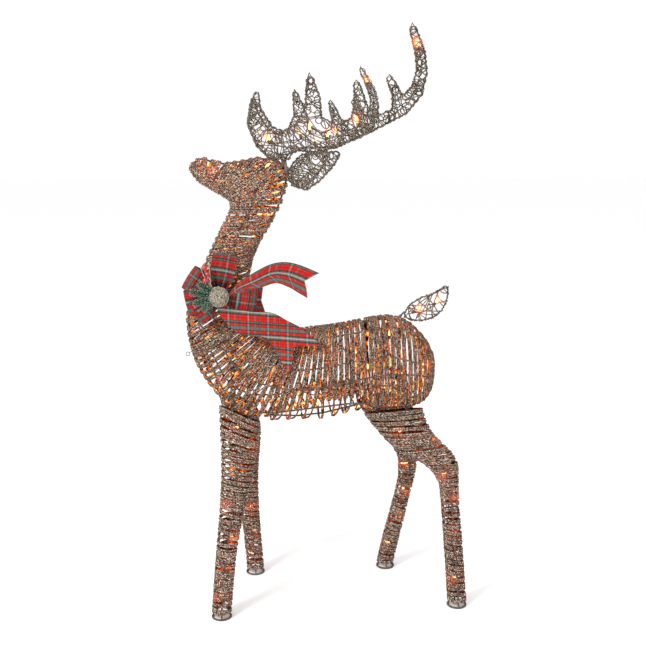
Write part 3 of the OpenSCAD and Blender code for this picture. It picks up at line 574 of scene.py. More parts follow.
def convex_outline(flat):
    """Convex hull of 2D points, anticlockwise."""
    ordered = sorted(map(tuple, flat))

    def half(source):
        chain = []
        for p in source:
            while len(chain) > 1 and ((chain[-1][0] - chain[-2][0]) * (p[1] - chain[-2][1])
                                      - (chain[-1][1] - chain[-2][1]) * (p[0] - chain[-2][0])) <= 1e-12:
                chain.pop()
            chain.append(p)
        return chain[:-1]

    return np.array(half(ordered) + half(ordered[::-1]))


def resample_loop(loop, count):
    """Points spaced evenly round a closed loop, from its first point."""
    closed = np.concatenate([loop, loop[:1]])
    travelled = travelled_along(closed)
    return columns_at(np.arange(count) / count * travelled[-1], travelled, closed)


# ---- Twine wound round a section ----

# The planes that the turns of each section lie in, as places along the section:
# [low end (y, z), high end (y, z), side tilt, share of the height left open below], in mm. The
# last two are left out where they are 0.
TORSO_PLANES = (
    ((-352, 698), (-176, 814)), ((-321, 626), (-140, 763)),
    ((-255, 553), (-106, 756)), ((-190, 524), (-78, 757)),
    ((-140, 510), (-60, 758), 0, 0.15), ((0, 512), (10, 766), 0, 0.21),
    ((85, 530), (78, 775), 0, 0.2), ((140, 540), (134, 785)),
    ((228, 545), (218, 781)), ((284, 566), (281, 722)),
    ((302, 630), (302, 662)),
)
NECK_PLANES = (
    ((-354, 701), (-178, 817)), ((-366, 762), (-190, 860)),
    ((-342, 878), (-188, 930)), ((-287, 997), (-163, 992)),
    ((-245, 1082), (-112, 1080)),
)
HEAD_PLANES = (
    ((-246, 1089), (-106, 1092)), ((-248, 1098), (-92, 1135)),
    ((-255, 1104), (-86, 1180)), ((-276, 1116), (-165, 1212)),
    ((-300, 1130), (-250, 1199)), ((-321, 1142), (-313, 1214)),
    ((-339, 1168), (-340, 1196)),
)
LEFT_FORE_PLANES = (
    ((-284, 567), (-174, 513), 0.2), ((-284, 520), (-176, 480), 0.1),
    ((-282, 460), (-182, 440), 0.04), ((-290, 280), (-222, 272)),
    ((-314, 17), (-258, 17)),
)
RIGHT_FORE_PLANES = (
    ((-284, 567), (-174, 513), -0.2), ((-277, 517), (-168, 480), -0.1),
    ((-268, 452), (-166, 432), -0.04), ((-241, 280), (-174, 274)),
    ((-214, 17), (-160, 17)),
)
LEFT_HIND_PLANES = (
    ((102, 531), (266, 541), 0.2), ((156, 465), (293, 476), 0.04),
    ((244, 409), (342, 427)), ((301, 345), (358, 352)),
    ((314, 200), (369, 196)), ((327, 17), (383, 17)),
)
RIGHT_HIND_PLANES = (
    ((102, 531), (266, 541), -0.2), ((148, 456), (272, 470), -0.04),
    ((208, 388), (292, 402)), ((231, 290), (283, 286)),
    ((205, 165), (256, 158)), ((174, 17), (228, 17)),
)


def turn_planes(planes, pitch, centre_x=0.0, crowding=0.0):
    """Low end, high end, tilt and opening of every turn along a section, unevenly spaced. Pitch is
    kept at the middle of the turns, or with crowding towards the end that fans out."""
    low = np.array([(0, *p[0]) for p in planes]) / 1000 + GROUND + (centre_x, 0, 0)
    high = np.array([(0, *p[1]) for p in planes]) / 1000 + GROUND + (centre_x, 0, 0)
    rest = np.array([(*p[2:], 0, 0)[:2] for p in planes], float)
    steps = np.stack([norm(np.diff(end, axis=0), axis=1) for end in (low, high)])
    steps = steps.mean(0) * (1 - crowding) + steps.max(0) * crowding
    travelled = np.concatenate([[0], np.cumsum(steps)])
    gaps = pitch * rng.choice((0.8, 0.92, 1.0, 1.08, 1.24), int(travelled[-1] / pitch) + 1)
    places = np.concatenate([[0], np.cumsum(gaps)])
    places = END_MARGIN + places * (travelled[-1] - 2 * END_MARGIN) / places[-1]
    turns = []
    for at in places:
        start, end, tilt_and_opening = (columns_at(at, travelled, side) for side in (low, high, rest))
        grows = np.cross(end - start, (1, 0, 0))
        grows /= norm(grows)
        lean = MOST_LEAN if STRAIGHT_ENDS < at < travelled[-1] - STRAIGHT_ENDS else 0
        start = start + grows * rng.normal(0, lean)
        end = end + grows * rng.normal(0, lean)
        turns.append((start, end, tilt_and_opening))
    return turns


def plane_points(points, triangles, origin, normal):
    """Where the edges of a mesh meet a plane."""
    height = (points - origin) @ normal
    edges = np.concatenate([triangles[:, [0, 1]], triangles[:, [1, 2]], triangles[:, [2, 0]]])
    edges = edges[height[edges[:, 0]] * height[edges[:, 1]] < 0]
    a, b = edges.T
    share = (height[a] / (height[a] - height[b]))[:, None]
    return points[a] + (points[b] - points[a]) * share


def taut_turn(mesh, turn, count, inset):
    """One closed turn of twine pulled tight round a wrap: its points and their outward directions.
    Count is how many points it gets, and inset how far they lie inside the wrap's own surface."""
    low, high, (tilt, opening) = turn
    along = (high - low) / norm(high - low)
    across = np.array([1.0, 0, tilt])
    across = across - along * (across @ along)
    across /= norm(across)
    middle = (low + high) / 2
    half = norm(high - low) / 2
    cut = plane_points(*mesh, middle, np.cross(along, across)) - middle
    flat = np.stack([cut @ along, cut @ across], 1)
    flat = flat[np.abs(flat[:, 0]) < half + PAST_ENDS]
    if len(flat) < FEWEST_POINTS:
        return None
    lowest = flat[:, 0].min() + opening * np.ptp(flat[:, 0])
    flat = flat[flat[:, 0] >= lowest]
    centre = (flat.min(0) + flat.max(0)) / 2
    dense = resample_loop(convex_outline(flat), 400) - centre
    angle = np.arctan2(dense[:, 1], -dense[:, 0])
    order = np.argsort(angle)
    wanted = np.arange(count) / count * 2 * math.pi - math.pi
    reach = np.interp(wanted, angle[order], np.hypot(*dense[order].T), period=2 * math.pi) - inset
    spoke = -np.cos(wanted)[:, None] * along + np.sin(wanted)[:, None] * across
    return middle + centre[0] * along + centre[1] * across + spoke * reach[:, None], spoke


def closing_rings(ring, spoke, onward):
    """Smaller and smaller turns that close the round end of a section."""
    centre = ring.mean(0)
    return [(centre + (ring - centre) * share + onward * bulge, spoke)
            for share, bulge in ((0.72, 0.002), (0.44, 0.0035), (0.16, 0.004))]


def wind(mesh, planes, pitch, centre_x, crowding, inset, dips, closed_end):
    """The path of twine wound round a section, with its outward directions and growing directions."""
    turns = turn_planes(planes, pitch, centre_x, crowding)
    start, end, _ = turns[len(turns) // 2]
    girth = norm(end - start) * SPAN_TO_GIRTH
    count = max(FEWEST_RINGS, int(girth / RING_STEP))
    rings = [taut_turn(mesh, turn, count, inset) for turn in turns]
    kept = [ring for ring in rings if ring is not None]
    kept = [kept[0], *kept]
    if closed_end:
        onward = unit(kept[-1][0].mean(0) - kept[-3][0].mean(0))
        kept += closing_rings(*kept[-1], onward)
    else:
        kept.append(kept[-1])
    path, out = [], []
    share = (np.arange(count) / count)[:, None]
    for k in range(len(kept) - 1):
        (a, spoke_a), (b, spoke_b) = kept[k], kept[k + 1]
        lap = a + (b - a) * share
        spoke = spoke_a + (spoke_b - spoke_a) * share
        step = kept[min(k + 2, len(kept) - 1)][0] - kept[max(k - 1, 0)][0]
        spread = norm(step, axis=1, keepdims=True)
        normal = unit_rows(np.cross(step, np.roll(lap, -1, 0) - np.roll(lap, 1, 0)))
        normal *= -1 if (normal * spoke).sum() < 0 else 1
        spoke = unit_rows(spoke) + normal * np.clip(spread / WIDE_GAP, 0, 4)
        for side in (-1, 1):
            if rng.random() < dips:
                away = norm(lap - lap[np.argmax(side * lap[:, 0])], axis=1)
                lap = lap - spoke_a * (DIP_DEPTH * np.exp(-(away / DIP_WIDTH) ** 2))[:, None]
        path.append(lap)
        out.append(spoke)
    path, out = np.concatenate(path), unit_rows(np.concatenate(out))
    grows = unit_rows(np.cross(np.gradient(path, axis=0), out))
    return path, out, grows


def wavy(count, size, step):
    """Smooth random values of about a size, a fresh one every few steps, for uneven strands."""
    coarse = rng.normal(0, size, count // step + 3)
    return np.interp(np.arange(count), np.arange(len(coarse)) * step, coarse)


def twine_piece(name, strands, body, lamps, reach, tones):
    """Strands of two-ply twine that ride with a section."""
    made = sweep(name, strands, TWINE_SIDES, materials["twine"], lamps, reach, lobes=2,
                 twist=TWINE_TWIST, rough=0.05, tones=tones)
    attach(made, body)
    return made


def twine_section(name, wrap, body, lamp_node, planes, pitch, centre_x=0.0, crowding=0.0, dips=0.25,
                  reach=(0.0095, 0.08), parts=1, closed_end=False, tones=(0.1, 0.45)):
    """The twine of one section: two strands side by side the whole way, in place of the CAD wrap."""
    mesh = cad_arrays(wrap)
    path, out, grows = wind(mesh, planes, pitch, centre_x, crowding, TWINE_R * 1.25, dips, closed_end)
    lamps = lamp_centres(lamp_node)
    strands = []
    for side in (-1, 1):
        apart = side * TWINE_R * 1.02 + wavy(len(path), 0.0005, 11)
        lift = wavy(len(path), 0.0006, 7)
        strands.append((path + grows * apart[:, None] - out * np.abs(lift)[:, None], out))
    size = math.ceil(len(path) / parts)
    for part in range(parts):
        cut = slice(part * size, min((part + 1) * size + 1, len(path)))
        pieces = [(p[cut], o[cut], TWINE_R * (1 + wavy(len(p[cut]), 0.07, 5))) for p, o in strands]
        part_name = f"{name}_{part + 1}" if parts > 1 else name
        made = twine_piece(part_name, pieces, body, lamps, reach, tones)
        if part == 0:
            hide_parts(wrap)


# ---- Loops under the belly ----

def belly_loops():
    """Twine taken down from the lower side rails in rounded loops, each hooked round the keel."""
    mesh = cad_arrays("body_wrap")
    strands = []
    for turn in turn_planes(TORSO_PLANES, 0.032):
        if turn[2][1] < 0.05:
            continue
        ring, _ = taut_turn(mesh, turn, 120, 0.002)
        low = ring[ring[:, 2] < ring[:, 2].min() + 0.004]
        under = np.array([GROUND[0], turn[0][1], turn[0][2] - 0.0005])
        spread = rng.uniform(0.008, 0.011)
        for side in (-1, 1):
            rail = low[np.argmax(side * low[:, 0])]
            half_way = rail * 0.5 + under * 0.5 + (side * 0.012, 0, -0.006)
            down = [rail + (-side * 0.006, -spread, 0.012), rail + (0, -spread, 0),
                    half_way + (0, -0.8 * spread, 0), under + (side * 0.006, -0.0045, -0.002)]
            gaps = (0.0045, 0.8 * spread, spread, spread)
            back = [p + (0, 2 * gap, 0) for p, gap in zip(down[::-1], gaps)]
            line = [*down, under + (-side * 0.001, 0, -0.005), *back]
            strands.append((smooth_path(line, 54), (side, 0, -0.6), TWINE_R * 0.88))
    twine_piece("belly_loops", strands, "torso", lamp_centres("body_lamps"), (0.012, 0.06), (0.6, 1))


def smooth_path(points, count):
    """A Catmull-Rom curve through the points, with evenly stepped parameter."""
    p = np.asarray(points, float)
    p = np.concatenate([2 * p[:1] - p[1:2], p, 2 * p[-1:] - p[-2:-1]])
    t = np.linspace(0, len(p) - 3, count)
    i = np.minimum(t.astype(int), len(p) - 4)
    u = (t - i)[:, None]
    a, b, c, d = p[i], p[i + 1], p[i + 2], p[i + 3]
    return 0.5 * (2 * b + (c - a) * u + (2 * a - 5 * b + 4 * c - d) * u ** 2
                  + (3 * b - a - 3 * c + d) * u ** 3)


# ---- Vine on the flat wire outlines ----

def cut_loops(points, triangles, origin, normal):
    """The closed loops in which a mesh meets a plane."""
    points, triangles = welded(points, triangles)
    height = (points - origin) @ normal
    h = height[triangles]
    links, place = {}, {}
    for triangle in triangles[(h.min(1) < 0) & (h.max(1) > 0)]:
        ends = []
        for i in range(3):
            a, b = sorted((int(triangle[i]), int(triangle[(i + 1) % 3])))
            if height[a] * height[b] < 0:
                place[a, b] = points[a] + (points[b] - points[a]) * height[a] / (height[a] - height[b])
                ends.append((a, b))
        links.setdefault(ends[0], []).append(ends[1])
        links.setdefault(ends[1], []).append(ends[0])
    loops = []
    while links:
        key = next(iter(links))
        loop = []
        while key in links:
            loop.append(place[key])
            onward = links.pop(key)
            key = next((k for k in onward if k in links), None)
        loops.append(np.array(loop))
    return loops


def flat_frame(name):
    """The plane of a flat piece: its middle, two axes in the plane, the normal and the outline."""
    points, triangles = cad_arrays(name)
    middle = points.mean(0)
    _, _, axes = np.linalg.svd(points - middle, full_matrices=False)
    normal = axes[2]
    height = (points - middle) @ normal
    depth = np.ptp(height)
    middle = middle + normal * (height.max() + height.min()) / 2
    loops = cut_loops(points, triangles, middle + normal * (depth / 2 - CUT_INSET), normal)
    flats = [np.stack([(loop - middle) @ axes[0], (loop - middle) @ axes[1]], 1) for loop in loops]
    outline = max(flats, key=lambda f: abs(area_of(f)))
    if area_of(outline) < 0:
        outline = outline[::-1]
    count = int(norm(np.diff(outline, axis=0), axis=1).sum() / OUTLINE_STEP)
    outline = resample_loop(outline, count)
    run = unit_rows(np.roll(outline, -1, 0) - np.roll(outline, 1, 0))
    inward = np.stack([-run[:, 1], run[:, 0]], 1)
    return middle, axes, depth, outline - inward * VINE_TO_WIRE, inward


def area_of(loop):
    x, y = loop.T
    return 0.5 * np.sum(x * np.roll(y, -1) - y * np.roll(x, -1))


def first_hit(outline, start, direction):
    """How far a ray runs inside an outline before it meets the other side."""
    a = outline
    edge = np.roll(outline, -1, 0) - a
    cross = direction[0] * edge[:, 1] - direction[1] * edge[:, 0]
    cross = np.where(np.abs(cross) < 1e-12, 1e-12, cross)
    gap = a - start
    reach = (gap[:, 0] * edge[:, 1] - gap[:, 1] * edge[:, 0]) / cross
    share = (gap[:, 0] * direction[1] - gap[:, 1] * direction[0]) / cross
    hits = reach[(share >= 0) & (share <= 1) & (reach > TOO_NEAR)]
    return hits.min() if len(hits) else None


def hooked_strand(start, end, face, depth, bend):
    """A strand in a flat piece's own axes: round one edge wire, over the face and round the other."""
    run = (end - start) / norm(end - start)
    side = np.array([-run[1], run[0]])
    length = norm(end - start)
    clear = THIN_WIRE_R + VINE_R
    points = [
        (*(start + side * 0.002), -face * clear * 0.8), (*(start - run * clear), 0),
        (*start, face * clear),
    ]
    for t in (0.2, 0.5, 0.8):
        swell = math.sin(math.pi * t)
        points.append((*(start + run * length * t + side * bend * length * swell),
                       face * (clear + (depth / 2 - clear - VINE_R) * swell)))
    points += [(*end, face * clear), (*(end + run * clear), 0), (*(end - side * 0.002), -face * clear * 0.8)]
    return smooth_path(points, max(14, int(length / 0.0035) + 8))


def round_loop(centre, radius, face, depth):
    """A loop of vine inside a flat piece, touching its edge wire."""
    angle = np.linspace(0, 2 * math.pi, 18) + rng.random() * 6
    reach = radius * (1 + 0.12 * np.cos(2 * angle + rng.random() * 6))
    level = face * (THIN_WIRE_R + VINE_R + depth * 0.15 * (1 + np.cos(angle)))
    return np.stack([centre[0] + np.cos(angle) * reach, centre[1] + np.sin(angle) * reach, level], 1)


def wire_binding(outline, inward):
    """Vine wound along the outline wire in an uneven open helix, with odd loose loops."""
    count = len(outline) * 2
    closed = np.concatenate([outline, outline[:1]])
    toward = np.concatenate([inward, inward[:1]])
    at = np.linspace(0, len(outline), count)
    line = columns_at(at, np.arange(len(closed)), closed)
    toward = columns_at(at, np.arange(len(closed)), toward)
    turn = np.cumsum(2 * math.pi * OUTLINE_STEP / 2 / BINDING_PITCH * (1 + wavy(count, 0.3, 20)))
    reach = THIN_WIRE_R + BINDING_R + np.maximum(0, wavy(count, 0.001, 9) - 0.0008)
    flat = line + toward * (np.cos(turn) * reach)[:, None]
    return np.column_stack([flat, np.sin(turn) * reach])


def crossing_strands(outline, inward, depth, spacing, longest):
    """Strands from edge to edge at uneven slants, on the two faces in turn."""
    strands = []
    step = max(1, round(spacing / OUTLINE_STEP))
    for lap in range(2):
        for i in range(lap * step // 2, len(outline), step):
            face = 1 if (i // step + lap) % 2 else -1
            c, s = compass(rng.uniform(*SLANTS) * (1 if rng.random() < 0.5 else -1))
            x, y = inward[i]
            direction = np.array([x * c - y * s, x * s + y * c])
            reach = first_hit(outline, outline[i], direction)
            if reach is None or reach > longest or reach < SHORTEST_STRAND:
                continue
            bend = np.clip(rng.normal(0, 0.16), -MOST_BULGE / reach, MOST_BULGE / reach)
            strands.append(hooked_strand(outline[i], outline[i] + direction * reach, face, depth, bend))
    return strands


def loops_inside(outline, inward, depth):
    """Small loops that touch the edge wire, wherever there is room for one."""
    strands = []
    for i in range(0, len(outline), LOOP_EVERY):
        radius = rng.uniform(*LOOP_R)
        room = first_hit(outline, outline[i], inward[i])
        if room is not None and room > radius * 1.9:
            strands.append(round_loop(outline[i] + inward[i] * radius, radius, rng.choice((-1, 1)), depth))
    return strands


def vine_piece(name, vine, body, lamp_node, spacing, longest, lengthwise=False, looped=True):
    """The criss-cross vine of one flat piece, edge to edge on both faces, in place of the CAD vine.
    Lengthwise adds a strand from end to end, and looped adds small loops inside the edge."""
    middle, axes, depth, outline, inward = flat_frame(vine)
    strands = crossing_strands(outline, inward, depth, spacing, longest)
    if looped:
        strands += loops_inside(outline, inward, depth)
    long_side = outline[:, np.argmax(np.ptp(outline, axis=0))]
    ends = outline[np.argmin(long_side)], outline[np.argmax(long_side)]
    if lengthwise:
        strands.append(hooked_strand(*ends, -1, depth, rng.uniform(-0.12, 0.12)))
    rows = [(middle + flat @ axes, axes[2], VINE_R * rng.uniform(0.85, 1.2)) for flat in strands]
    rows.append((middle + wire_binding(outline, inward) @ axes, axes[2], BINDING_R))
    lamps = lamp_centres(lamp_node) if lamp_node else ()
    made = sweep(name, rows, THIN_SIDES, materials["vine"], lamps, (0.009, 0.02), rough=0.1)
    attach(made, body)
    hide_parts(vine)


# ---- Bow ----

def on_bow(points, depth=0.0):
    """Points (right, up, out) of the bow, as seen from the deer's left, in the frame."""
    p = np.asarray(points, float)
    return np.stack([KNOT.x + depth + p[..., 2], KNOT.y + p[..., 0], KNOT.z + p[..., 1]], -1)


def ribbon(name, grid, cloth, pleat_shade=0.0):
    """A piece of ribbon from a grid of points, with its two wired edges. Pleat_shade is how deep in shade
    its pleats lie, as painted shade in its colour."""
    rows, columns = grid.shape[:2]
    index = np.arange(rows * columns).reshape(rows, columns)
    quads = np.stack([index[:-1, :-1], index[1:, :-1], index[1:, 1:], index[:-1, 1:]], -1).reshape(-1, 4)
    uv = grid_of(np.arange(rows) / (rows - 1), np.arange(columns) / (columns - 1)).reshape(-1, 2)
    shade = np.broadcast_to(np.asarray(pleat_shade, float), (rows, columns)).reshape(-1, 1)
    values = np.concatenate([cloth.reshape(-1, 2), shade], 1)
    made = mesh_object(name, grid.reshape(-1, 3), quads, [], {"cloth": values}, uv[quads.ravel()],
                       materials["ribbon"])
    edges = [(grid[:, side], HEM_FACE, HEM_R) for side in (0, -1)]
    hem = sweep(name + "_wired_edges", edges, THIN_SIDES, materials["hem"])
    for piece in (made, hem):
        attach(piece, "head")
    return made


# Loops of the bow: [name, pointing angle in degrees, length in mm, how far out it sits in mm,
# whether its broad stripes run across it].
BOW_LOOPS = (
    ("top", 79, 107, 0, True), ("upper_left", 147, 92, 2, True), ("left", 193, 86, 4, False),
    ("lower_left", 217, 80, 6, False), ("right", -9, 98, 4, True),
)


def bow_loop(name, angle, length, out, striped_across):
    """One loop: the ribbon leaves the knot, turns over and comes back, pleated where it is gathered."""
    length, depth, start, gathered = length / 1000, 0.034, 0.012, 0.009
    lower = [(start, -0.0022), (length * 0.35, -depth * 0.36), (length * 0.7, -depth * 0.5),
             (length * 0.93, -depth * 0.37)]
    upper = [(x, -z) for x, z in lower[::-1]]
    band = smooth_path([*lower, (length, 0), *upper], 70)
    travelled = travelled_along(band)
    across = np.linspace(-1, 1, 25)
    open_share = np.clip((band[:, 0] - start) / (length * 0.45), 0, 1)
    half = gathered + (RIBBON_W / 2 - gathered) * np.sin(open_share * math.pi / 2)
    pleat = 0.0042 * (1 - open_share) ** 1.2 + 0.0007
    grid = np.zeros((len(band), len(across), 3))
    c, s = compass(angle)
    for j, a in enumerate(across):
        fold = np.cos(a * 9.5 + angle) * pleat
        reach = band[:, 0] - 0.002 * a * a * open_share
        level = band[:, 1] + fold * np.clip((band[:, 0] - start) / 0.01, 0, 1)
        grid[:, j] = np.stack([reach * c - half * a * s, reach * s + half * a * c, level], -1)
    cloth = grid_of(travelled, (across + 1) / 2 * RIBBON_W)
    if striped_across:
        cloth = cloth[..., ::-1]
    # Painted shade on the whole loop, deepest near the knot where it is gathered.
    ribbon(f"bow_loop_{name}", on_bow(grid, out / 1000), cloth,
           pleat_shade=(0.35 + 0.5 * (1 - open_share))[:, None])


def tail_grid(first_edge, second_edge, notch, rows=60, columns=25):
    """Points (right, up) between two edges of a tail, with its end cut back to a V in the middle."""
    steps = np.arange(200)
    a, b = (smooth_path(edge, len(steps)) for edge in (first_edge, second_edge))
    grid = np.zeros((rows, columns, 2))
    for j, v in enumerate(np.linspace(0, 1, columns)):
        end = 1 - notch * (1 - abs(2 * v - 1))
        grid[:, j] = columns_at(np.linspace(0, end, rows) * steps[-1], steps, a * (1 - v) + b * v)
    return grid / 1000


def bow_tail(name, grid, level, cloth=None):
    """A tail that hangs from the knot. Level is how far out it stands, by its share of the length and of the
    width."""
    along = travelled_along(grid.mean(1))
    across = np.linspace(0, RIBBON_W, grid.shape[1])
    if cloth is None:
        cloth = grid_of(along, across)
    stands_out = level((along / along[-1])[:, None], (across / RIBBON_W)[None, :])
    stands_out = np.broadcast_to(stands_out, grid.shape[:2])
    ribbon(name, on_bow(np.dstack([grid, stands_out])), cloth)


def bow_tails():
    """Upper tail that arches to the right, lower tail that drops over the shoulder, and a short one."""
    upper = tail_grid(
        [(22, 4), (32, 14), (52, 36), (77, 52), (125, 77), (165, 84), (205, 76), (256, 54)],
        [(24, -4), (36, 0), (60, 8), (102, 19), (144, 31), (177, 20), (200, 6), (226, -10)], 0.08)
    bow_tail("bow_tail_upper", upper, lambda u, v: 0.006 * np.sin(u * 5.2) + 0.003 * np.cos(v * 3) + 0.018)

    lower = tail_grid(
        [(2, -12), (30, -30), (80, -40), (134, -45), (174, -67), (210, -88), (263, -134)],
        [(-4, -38), (14, -64), (40, -90), (67, -101), (123, -114), (150, -164), (178, -205)], 0.13)
    level_lines = np.stack([lower[..., 0], lower[..., 1] + 0.1 * lower[..., 0]], -1)
    rolls = np.sin(lower[..., 1] / 0.045 * math.pi) * np.linspace(0, 1, len(lower))[:, None]
    bow_tail("bow_tail_lower", lower, lambda u, v: 0.005 * np.sin(u * 6) + 0.004 * rolls + 0.021,
             cloth=level_lines)

    short = tail_grid([(40, -4), (78, 6), (114, 14)], [(40, -30), (80, -44), (120, -54)], 0.1, rows=30)
    bow_tail("bow_tail_short", short, lambda u, v: 0.003 * np.sin(u * 4) - 0.02)


def bow_knot():
    """The gathered ribbon at the knot: a short band of pleats drawn round the tie."""
    around = np.linspace(0, 2 * math.pi, 60)
    across = np.linspace(-1, 1, 15)
    grid = np.zeros((len(around), len(across), 3))
    for j, a in enumerate(across):
        reach = 0.0135 + 0.0014 * math.cos(a * 11) - 0.002 * a * a
        level = 0.4 * np.sin(around) * reach
        grid[:, j] = np.stack([np.cos(around) * reach, 0.012 * a + 0 * around, level], -1)
    cloth = grid_of(around * 0.02, (across + 1) / 2 * RIBBON_W)
    ribbon("bow_knot_band", on_bow(grid, 0.002), cloth)


def woven_ball():
    """A ball of pale woven twig: great-circle strands laid at random over a dark core, which stands for the
    inner twigs and the painted shade among them.
    """
    centre = np.array(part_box("twig_ball")[0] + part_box("twig_ball")[1]) / 2
    count, core_r, level_range = 80, 0.0222, (0.0228, 0.0258)
    strands = []
    for k in range(count):
        axis = unit(rng.normal(size=3))
        start = unit(np.cross(axis, rng.normal(size=3)))
        other = np.cross(axis, start)
        tip = rng.uniform(-0.35, 0.35)
        angle = np.linspace(0, rng.uniform(2.4, 5.0), 40)
        wobble = 1 + 0.02 * np.sin(angle * 7 + k)
        flat = np.cos(angle)[:, None] * start + np.sin(angle)[:, None] * other + axis * tip
        level = rng.uniform(*level_range)
        path = centre + unit_rows(flat) * (level * wobble)[:, None]
        strands.append((path, unit_rows(flat), rng.uniform(0.0008, 0.0013)))
    made = sweep("woven_ball_strands", strands, THIN_SIDES, materials["ball_twig"], rough=0.1)
    # The dark core is painted shade for the inside of the ball, with a twig grain.
    bpy.ops.mesh.primitive_uv_sphere_add(segments=32, ring_count=20, radius=core_r, location=centre)
    core = bpy.context.object
    core.name = "woven_ball_core"
    core.data.materials.append(materials["dark_twig_and_shade"])
    bpy.ops.object.shade_smooth()
    for piece in (made, core):
        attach(piece, "head")
    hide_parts("twig_ball")


def pine_needles():
    """Short frosted needles on four twigs that fan out to the left of the ball."""
    root = np.array([-0.004, 0.002, 0.030])
    count, turn = 110, 2.4      # needles on a twig, and radians from one to the next
    rows, tips = [], []
    for angle, length in ((170, 0.066), (198, 0.06), (143, 0.054), (224, 0.048)):
        way = np.array([*compass(angle), 0.12])
        side = np.array([-way[1], way[0], 0])
        twig = np.stack([root + way * length * t for t in np.linspace(0, 0.92, 8)])
        rows.append((on_bow(twig), BOW_FACE, 0.0013))
        tips.append(np.zeros(len(twig)))
        for k in range(count):
            t = 0.12 + 0.85 * k / count
            c, s = math.cos(k * turn), math.sin(k * turn)
            out = side * c + np.array([0, 0, 1]) * s
            lean = unit(way * 0.75 + out * rng.uniform(0.7, 1.1))
            size = rng.uniform(0.014, 0.021) * (1 - 0.4 * t)
            needle = np.stack([root + way * length * t + lean * size * u for u in (0, 0.4, 0.8, 1.0)])
            rows.append((on_bow(needle), BOW_FACE, np.array([0.0008, 0.001, 0.0008, 0.0004])))
            tips.append(np.linspace(0, 1, len(needle)))
    sides = 5
    made = sweep("pine_needles", rows, sides, materials["needles"])
    tip = made.data.attributes.new("tip", "FLOAT", "POINT")
    tip.data.foreach_set("value", np.repeat(np.concatenate(tips), sides).astype(np.float32))
    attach(made, "head")
    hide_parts("pine_sprig")


def berry_stalks():
    """The stalks of the berries, with a pale frosted twig beside them."""
    strands = []
    for x, y, foot in ((-34, 75, -26), (-27, 59, -20), (-32, 42, -15)):
        line = [(foot, 22, 26), ((x + foot) / 2 + 4, (y + 22) / 2, 31), (x, y - 3, 30)]
        strands.append((on_bow(smooth_path(np.array(line) / 1000, 14)), BOW_FACE, 0.0009))
    for bend in (-1, 1, 2):
        line = [(-22, 24, 24), (-25 - 5 * bend, 52, 30), (-30 - 7 * bend, 84 - 4 * bend, 27)]
        strands.append((on_bow(smooth_path(np.array(line) / 1000, 16)), BOW_FACE, 0.0007))
    made = sweep("berry_stalks", strands, THIN_SIDES, materials["pale_twig"], rough=0.1)
    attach(made, "head")


# ---- Finishes of the carried-over CAD nodes ----

NODE_FINISHES = (
    ("_frame", "wire", "frame_wire"), ("_sockets", "socket", "socket_steel"),
    ("_socket", "socket", "socket_steel"), ("neck_clip", "wire", "frame_wire"),
    ("_light_string", "lead", "lead_plastic"), ("_lamps", "bulb", "lamp_glow"),
    ("_wrap", "twine", "rattan_twine"), ("_vine", "vine", "vine"),
    ("bow_loops", "ribbon", "tartan_ribbon"), ("bow_tails", "ribbon", "tartan_ribbon"),
    ("bow_tie", "tie", "ribbon_tie"), ("bow_berries", "berry", "berry_red"),
    ("pine_sprig", "needles", "pine_green"), ("twig_ball", "dark_twig_and_shade", "twig"),
)


def finish_nodes():
    """Gives each CAD node the material that the ending of its name calls for."""
    for name, piece in nodes.items():
        finish, slot = next((f, s) for ending, f, s in NODE_FINISHES if name.endswith(ending))
        piece.data.materials.clear()
        piece.data.materials.append(materials[finish])


def smooth_nodes():
    """Soft shading on the round CAD parts, with their sharp ends kept."""
    for piece in nodes.values():
        if piece.hide_render:
            continue
        bpy.ops.object.select_all(action="DESELECT")
        piece.select_set(True)
        bpy.context.view_layer.objects.active = piece
        bpy.ops.object.shade_smooth_by_angle(angle=math.radians(40))


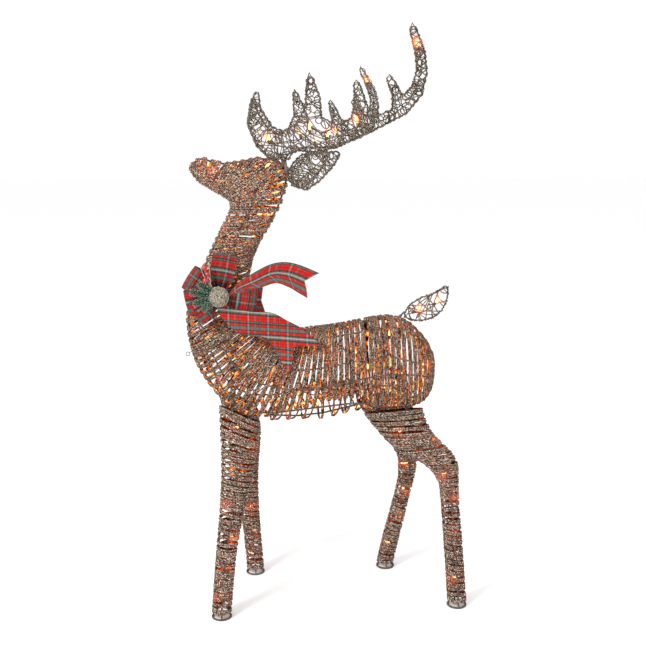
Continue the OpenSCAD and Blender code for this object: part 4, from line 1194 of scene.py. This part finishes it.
materials = {
    "twine": twine_material(),
    "vine": vine_material(),
    "wire": wire_material("frame_wire", (0.035, 0.028, 0.024), (0.2, 0.165, 0.14)),
    "socket": wire_material("socket_tube", (0.055, 0.05, 0.045), (0.26, 0.24, 0.22)),
    "hem": wire_material("ribbon_hem", (0.012, 0.022, 0.022), (0.07, 0.09, 0.085)),
    "tie": wire_material("ribbon_tie", (0.02, 0.03, 0.025), (0.1, 0.12, 0.1)),
    "lead": lead_material(),
    "bulb": bulb_material(),
    "ribbon": ribbon_material(),
    "berry": plain_material("red_berry", (0.2, 0.003, 0.008), (0.46, 0.014, 0.03), 90, (0.16, 0.34), 0.7),
    "pale_twig": plain_material("pale_twig", (0.3, 0.24, 0.16), (0.72, 0.66, 0.54), 260, (0.6, 0.85)),
    "ball_twig": plain_material("ball_twig", (0.03, 0.022, 0.014), (0.54, 0.48, 0.37), 330, (0.6, 0.85)),
    "dark_twig_and_shade": plain_material("dark_twig_and_shade", (0.03, 0.022, 0.014), (0.13, 0.1, 0.065), 200, (0.7, 0.9)),
    "needles": needle_material(),
}

finish_nodes()
# The torso's darker tone range is painted shade.
twine_section("torso_twine", "body_wrap", "torso", "body_lamps", TORSO_PLANES, 0.0158, dips=0.5,
              reach=(0.0105, 0.08), parts=3, closed_end=True, tones=(0.4, 0.9))
twine_section("neck_twine", "neck_wrap", "head", "head_lamps", NECK_PLANES, 0.0165, dips=0.2)
twine_section("head_twine", "head_wrap", "head", "head_lamps", HEAD_PLANES, 0.0172, crowding=0.3,
              dips=0.15, closed_end=True)
LEGS = (
    ("left_fore_leg", LEFT_FORE_PLANES, 0.064), ("right_fore_leg", RIGHT_FORE_PLANES, -0.064),
    ("left_hind_leg", LEFT_HIND_PLANES, 0.062), ("right_hind_leg", RIGHT_HIND_PLANES, -0.062),
)
for leg, planes, centre_x in LEGS:
    twine_section(f"{leg}_twine", f"{leg}_wrap", leg, f"{leg}_lamps", planes, 0.0155, centre_x,
                  dips=0.2, reach=(0.0095, 0.02), tones=(0, 0.3))
belly_loops()
for side in ("left", "right"):
    vine_piece(f"{side}_antler_twigs", f"{side}_antler_vine", f"{side}_antler", f"{side}_antler_lamps",
               0.03, 0.12)
    vine_piece(f"{side}_ear_twigs", f"{side}_ear_vine", "head", None, 0.032, 0.11, lengthwise=True)
vine_piece("tail_twigs", "tail_vine", "tail", "tail_lamps", 0.027, 0.11, lengthwise=True, looped=False)
for loop in BOW_LOOPS:
    bow_loop(*loop)
bow_tails()
bow_knot()
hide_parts("bow_loops")
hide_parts("bow_tails")
woven_ball()
pine_needles()
berry_stalks()
smooth_nodes()
add_camera()
add_studio()
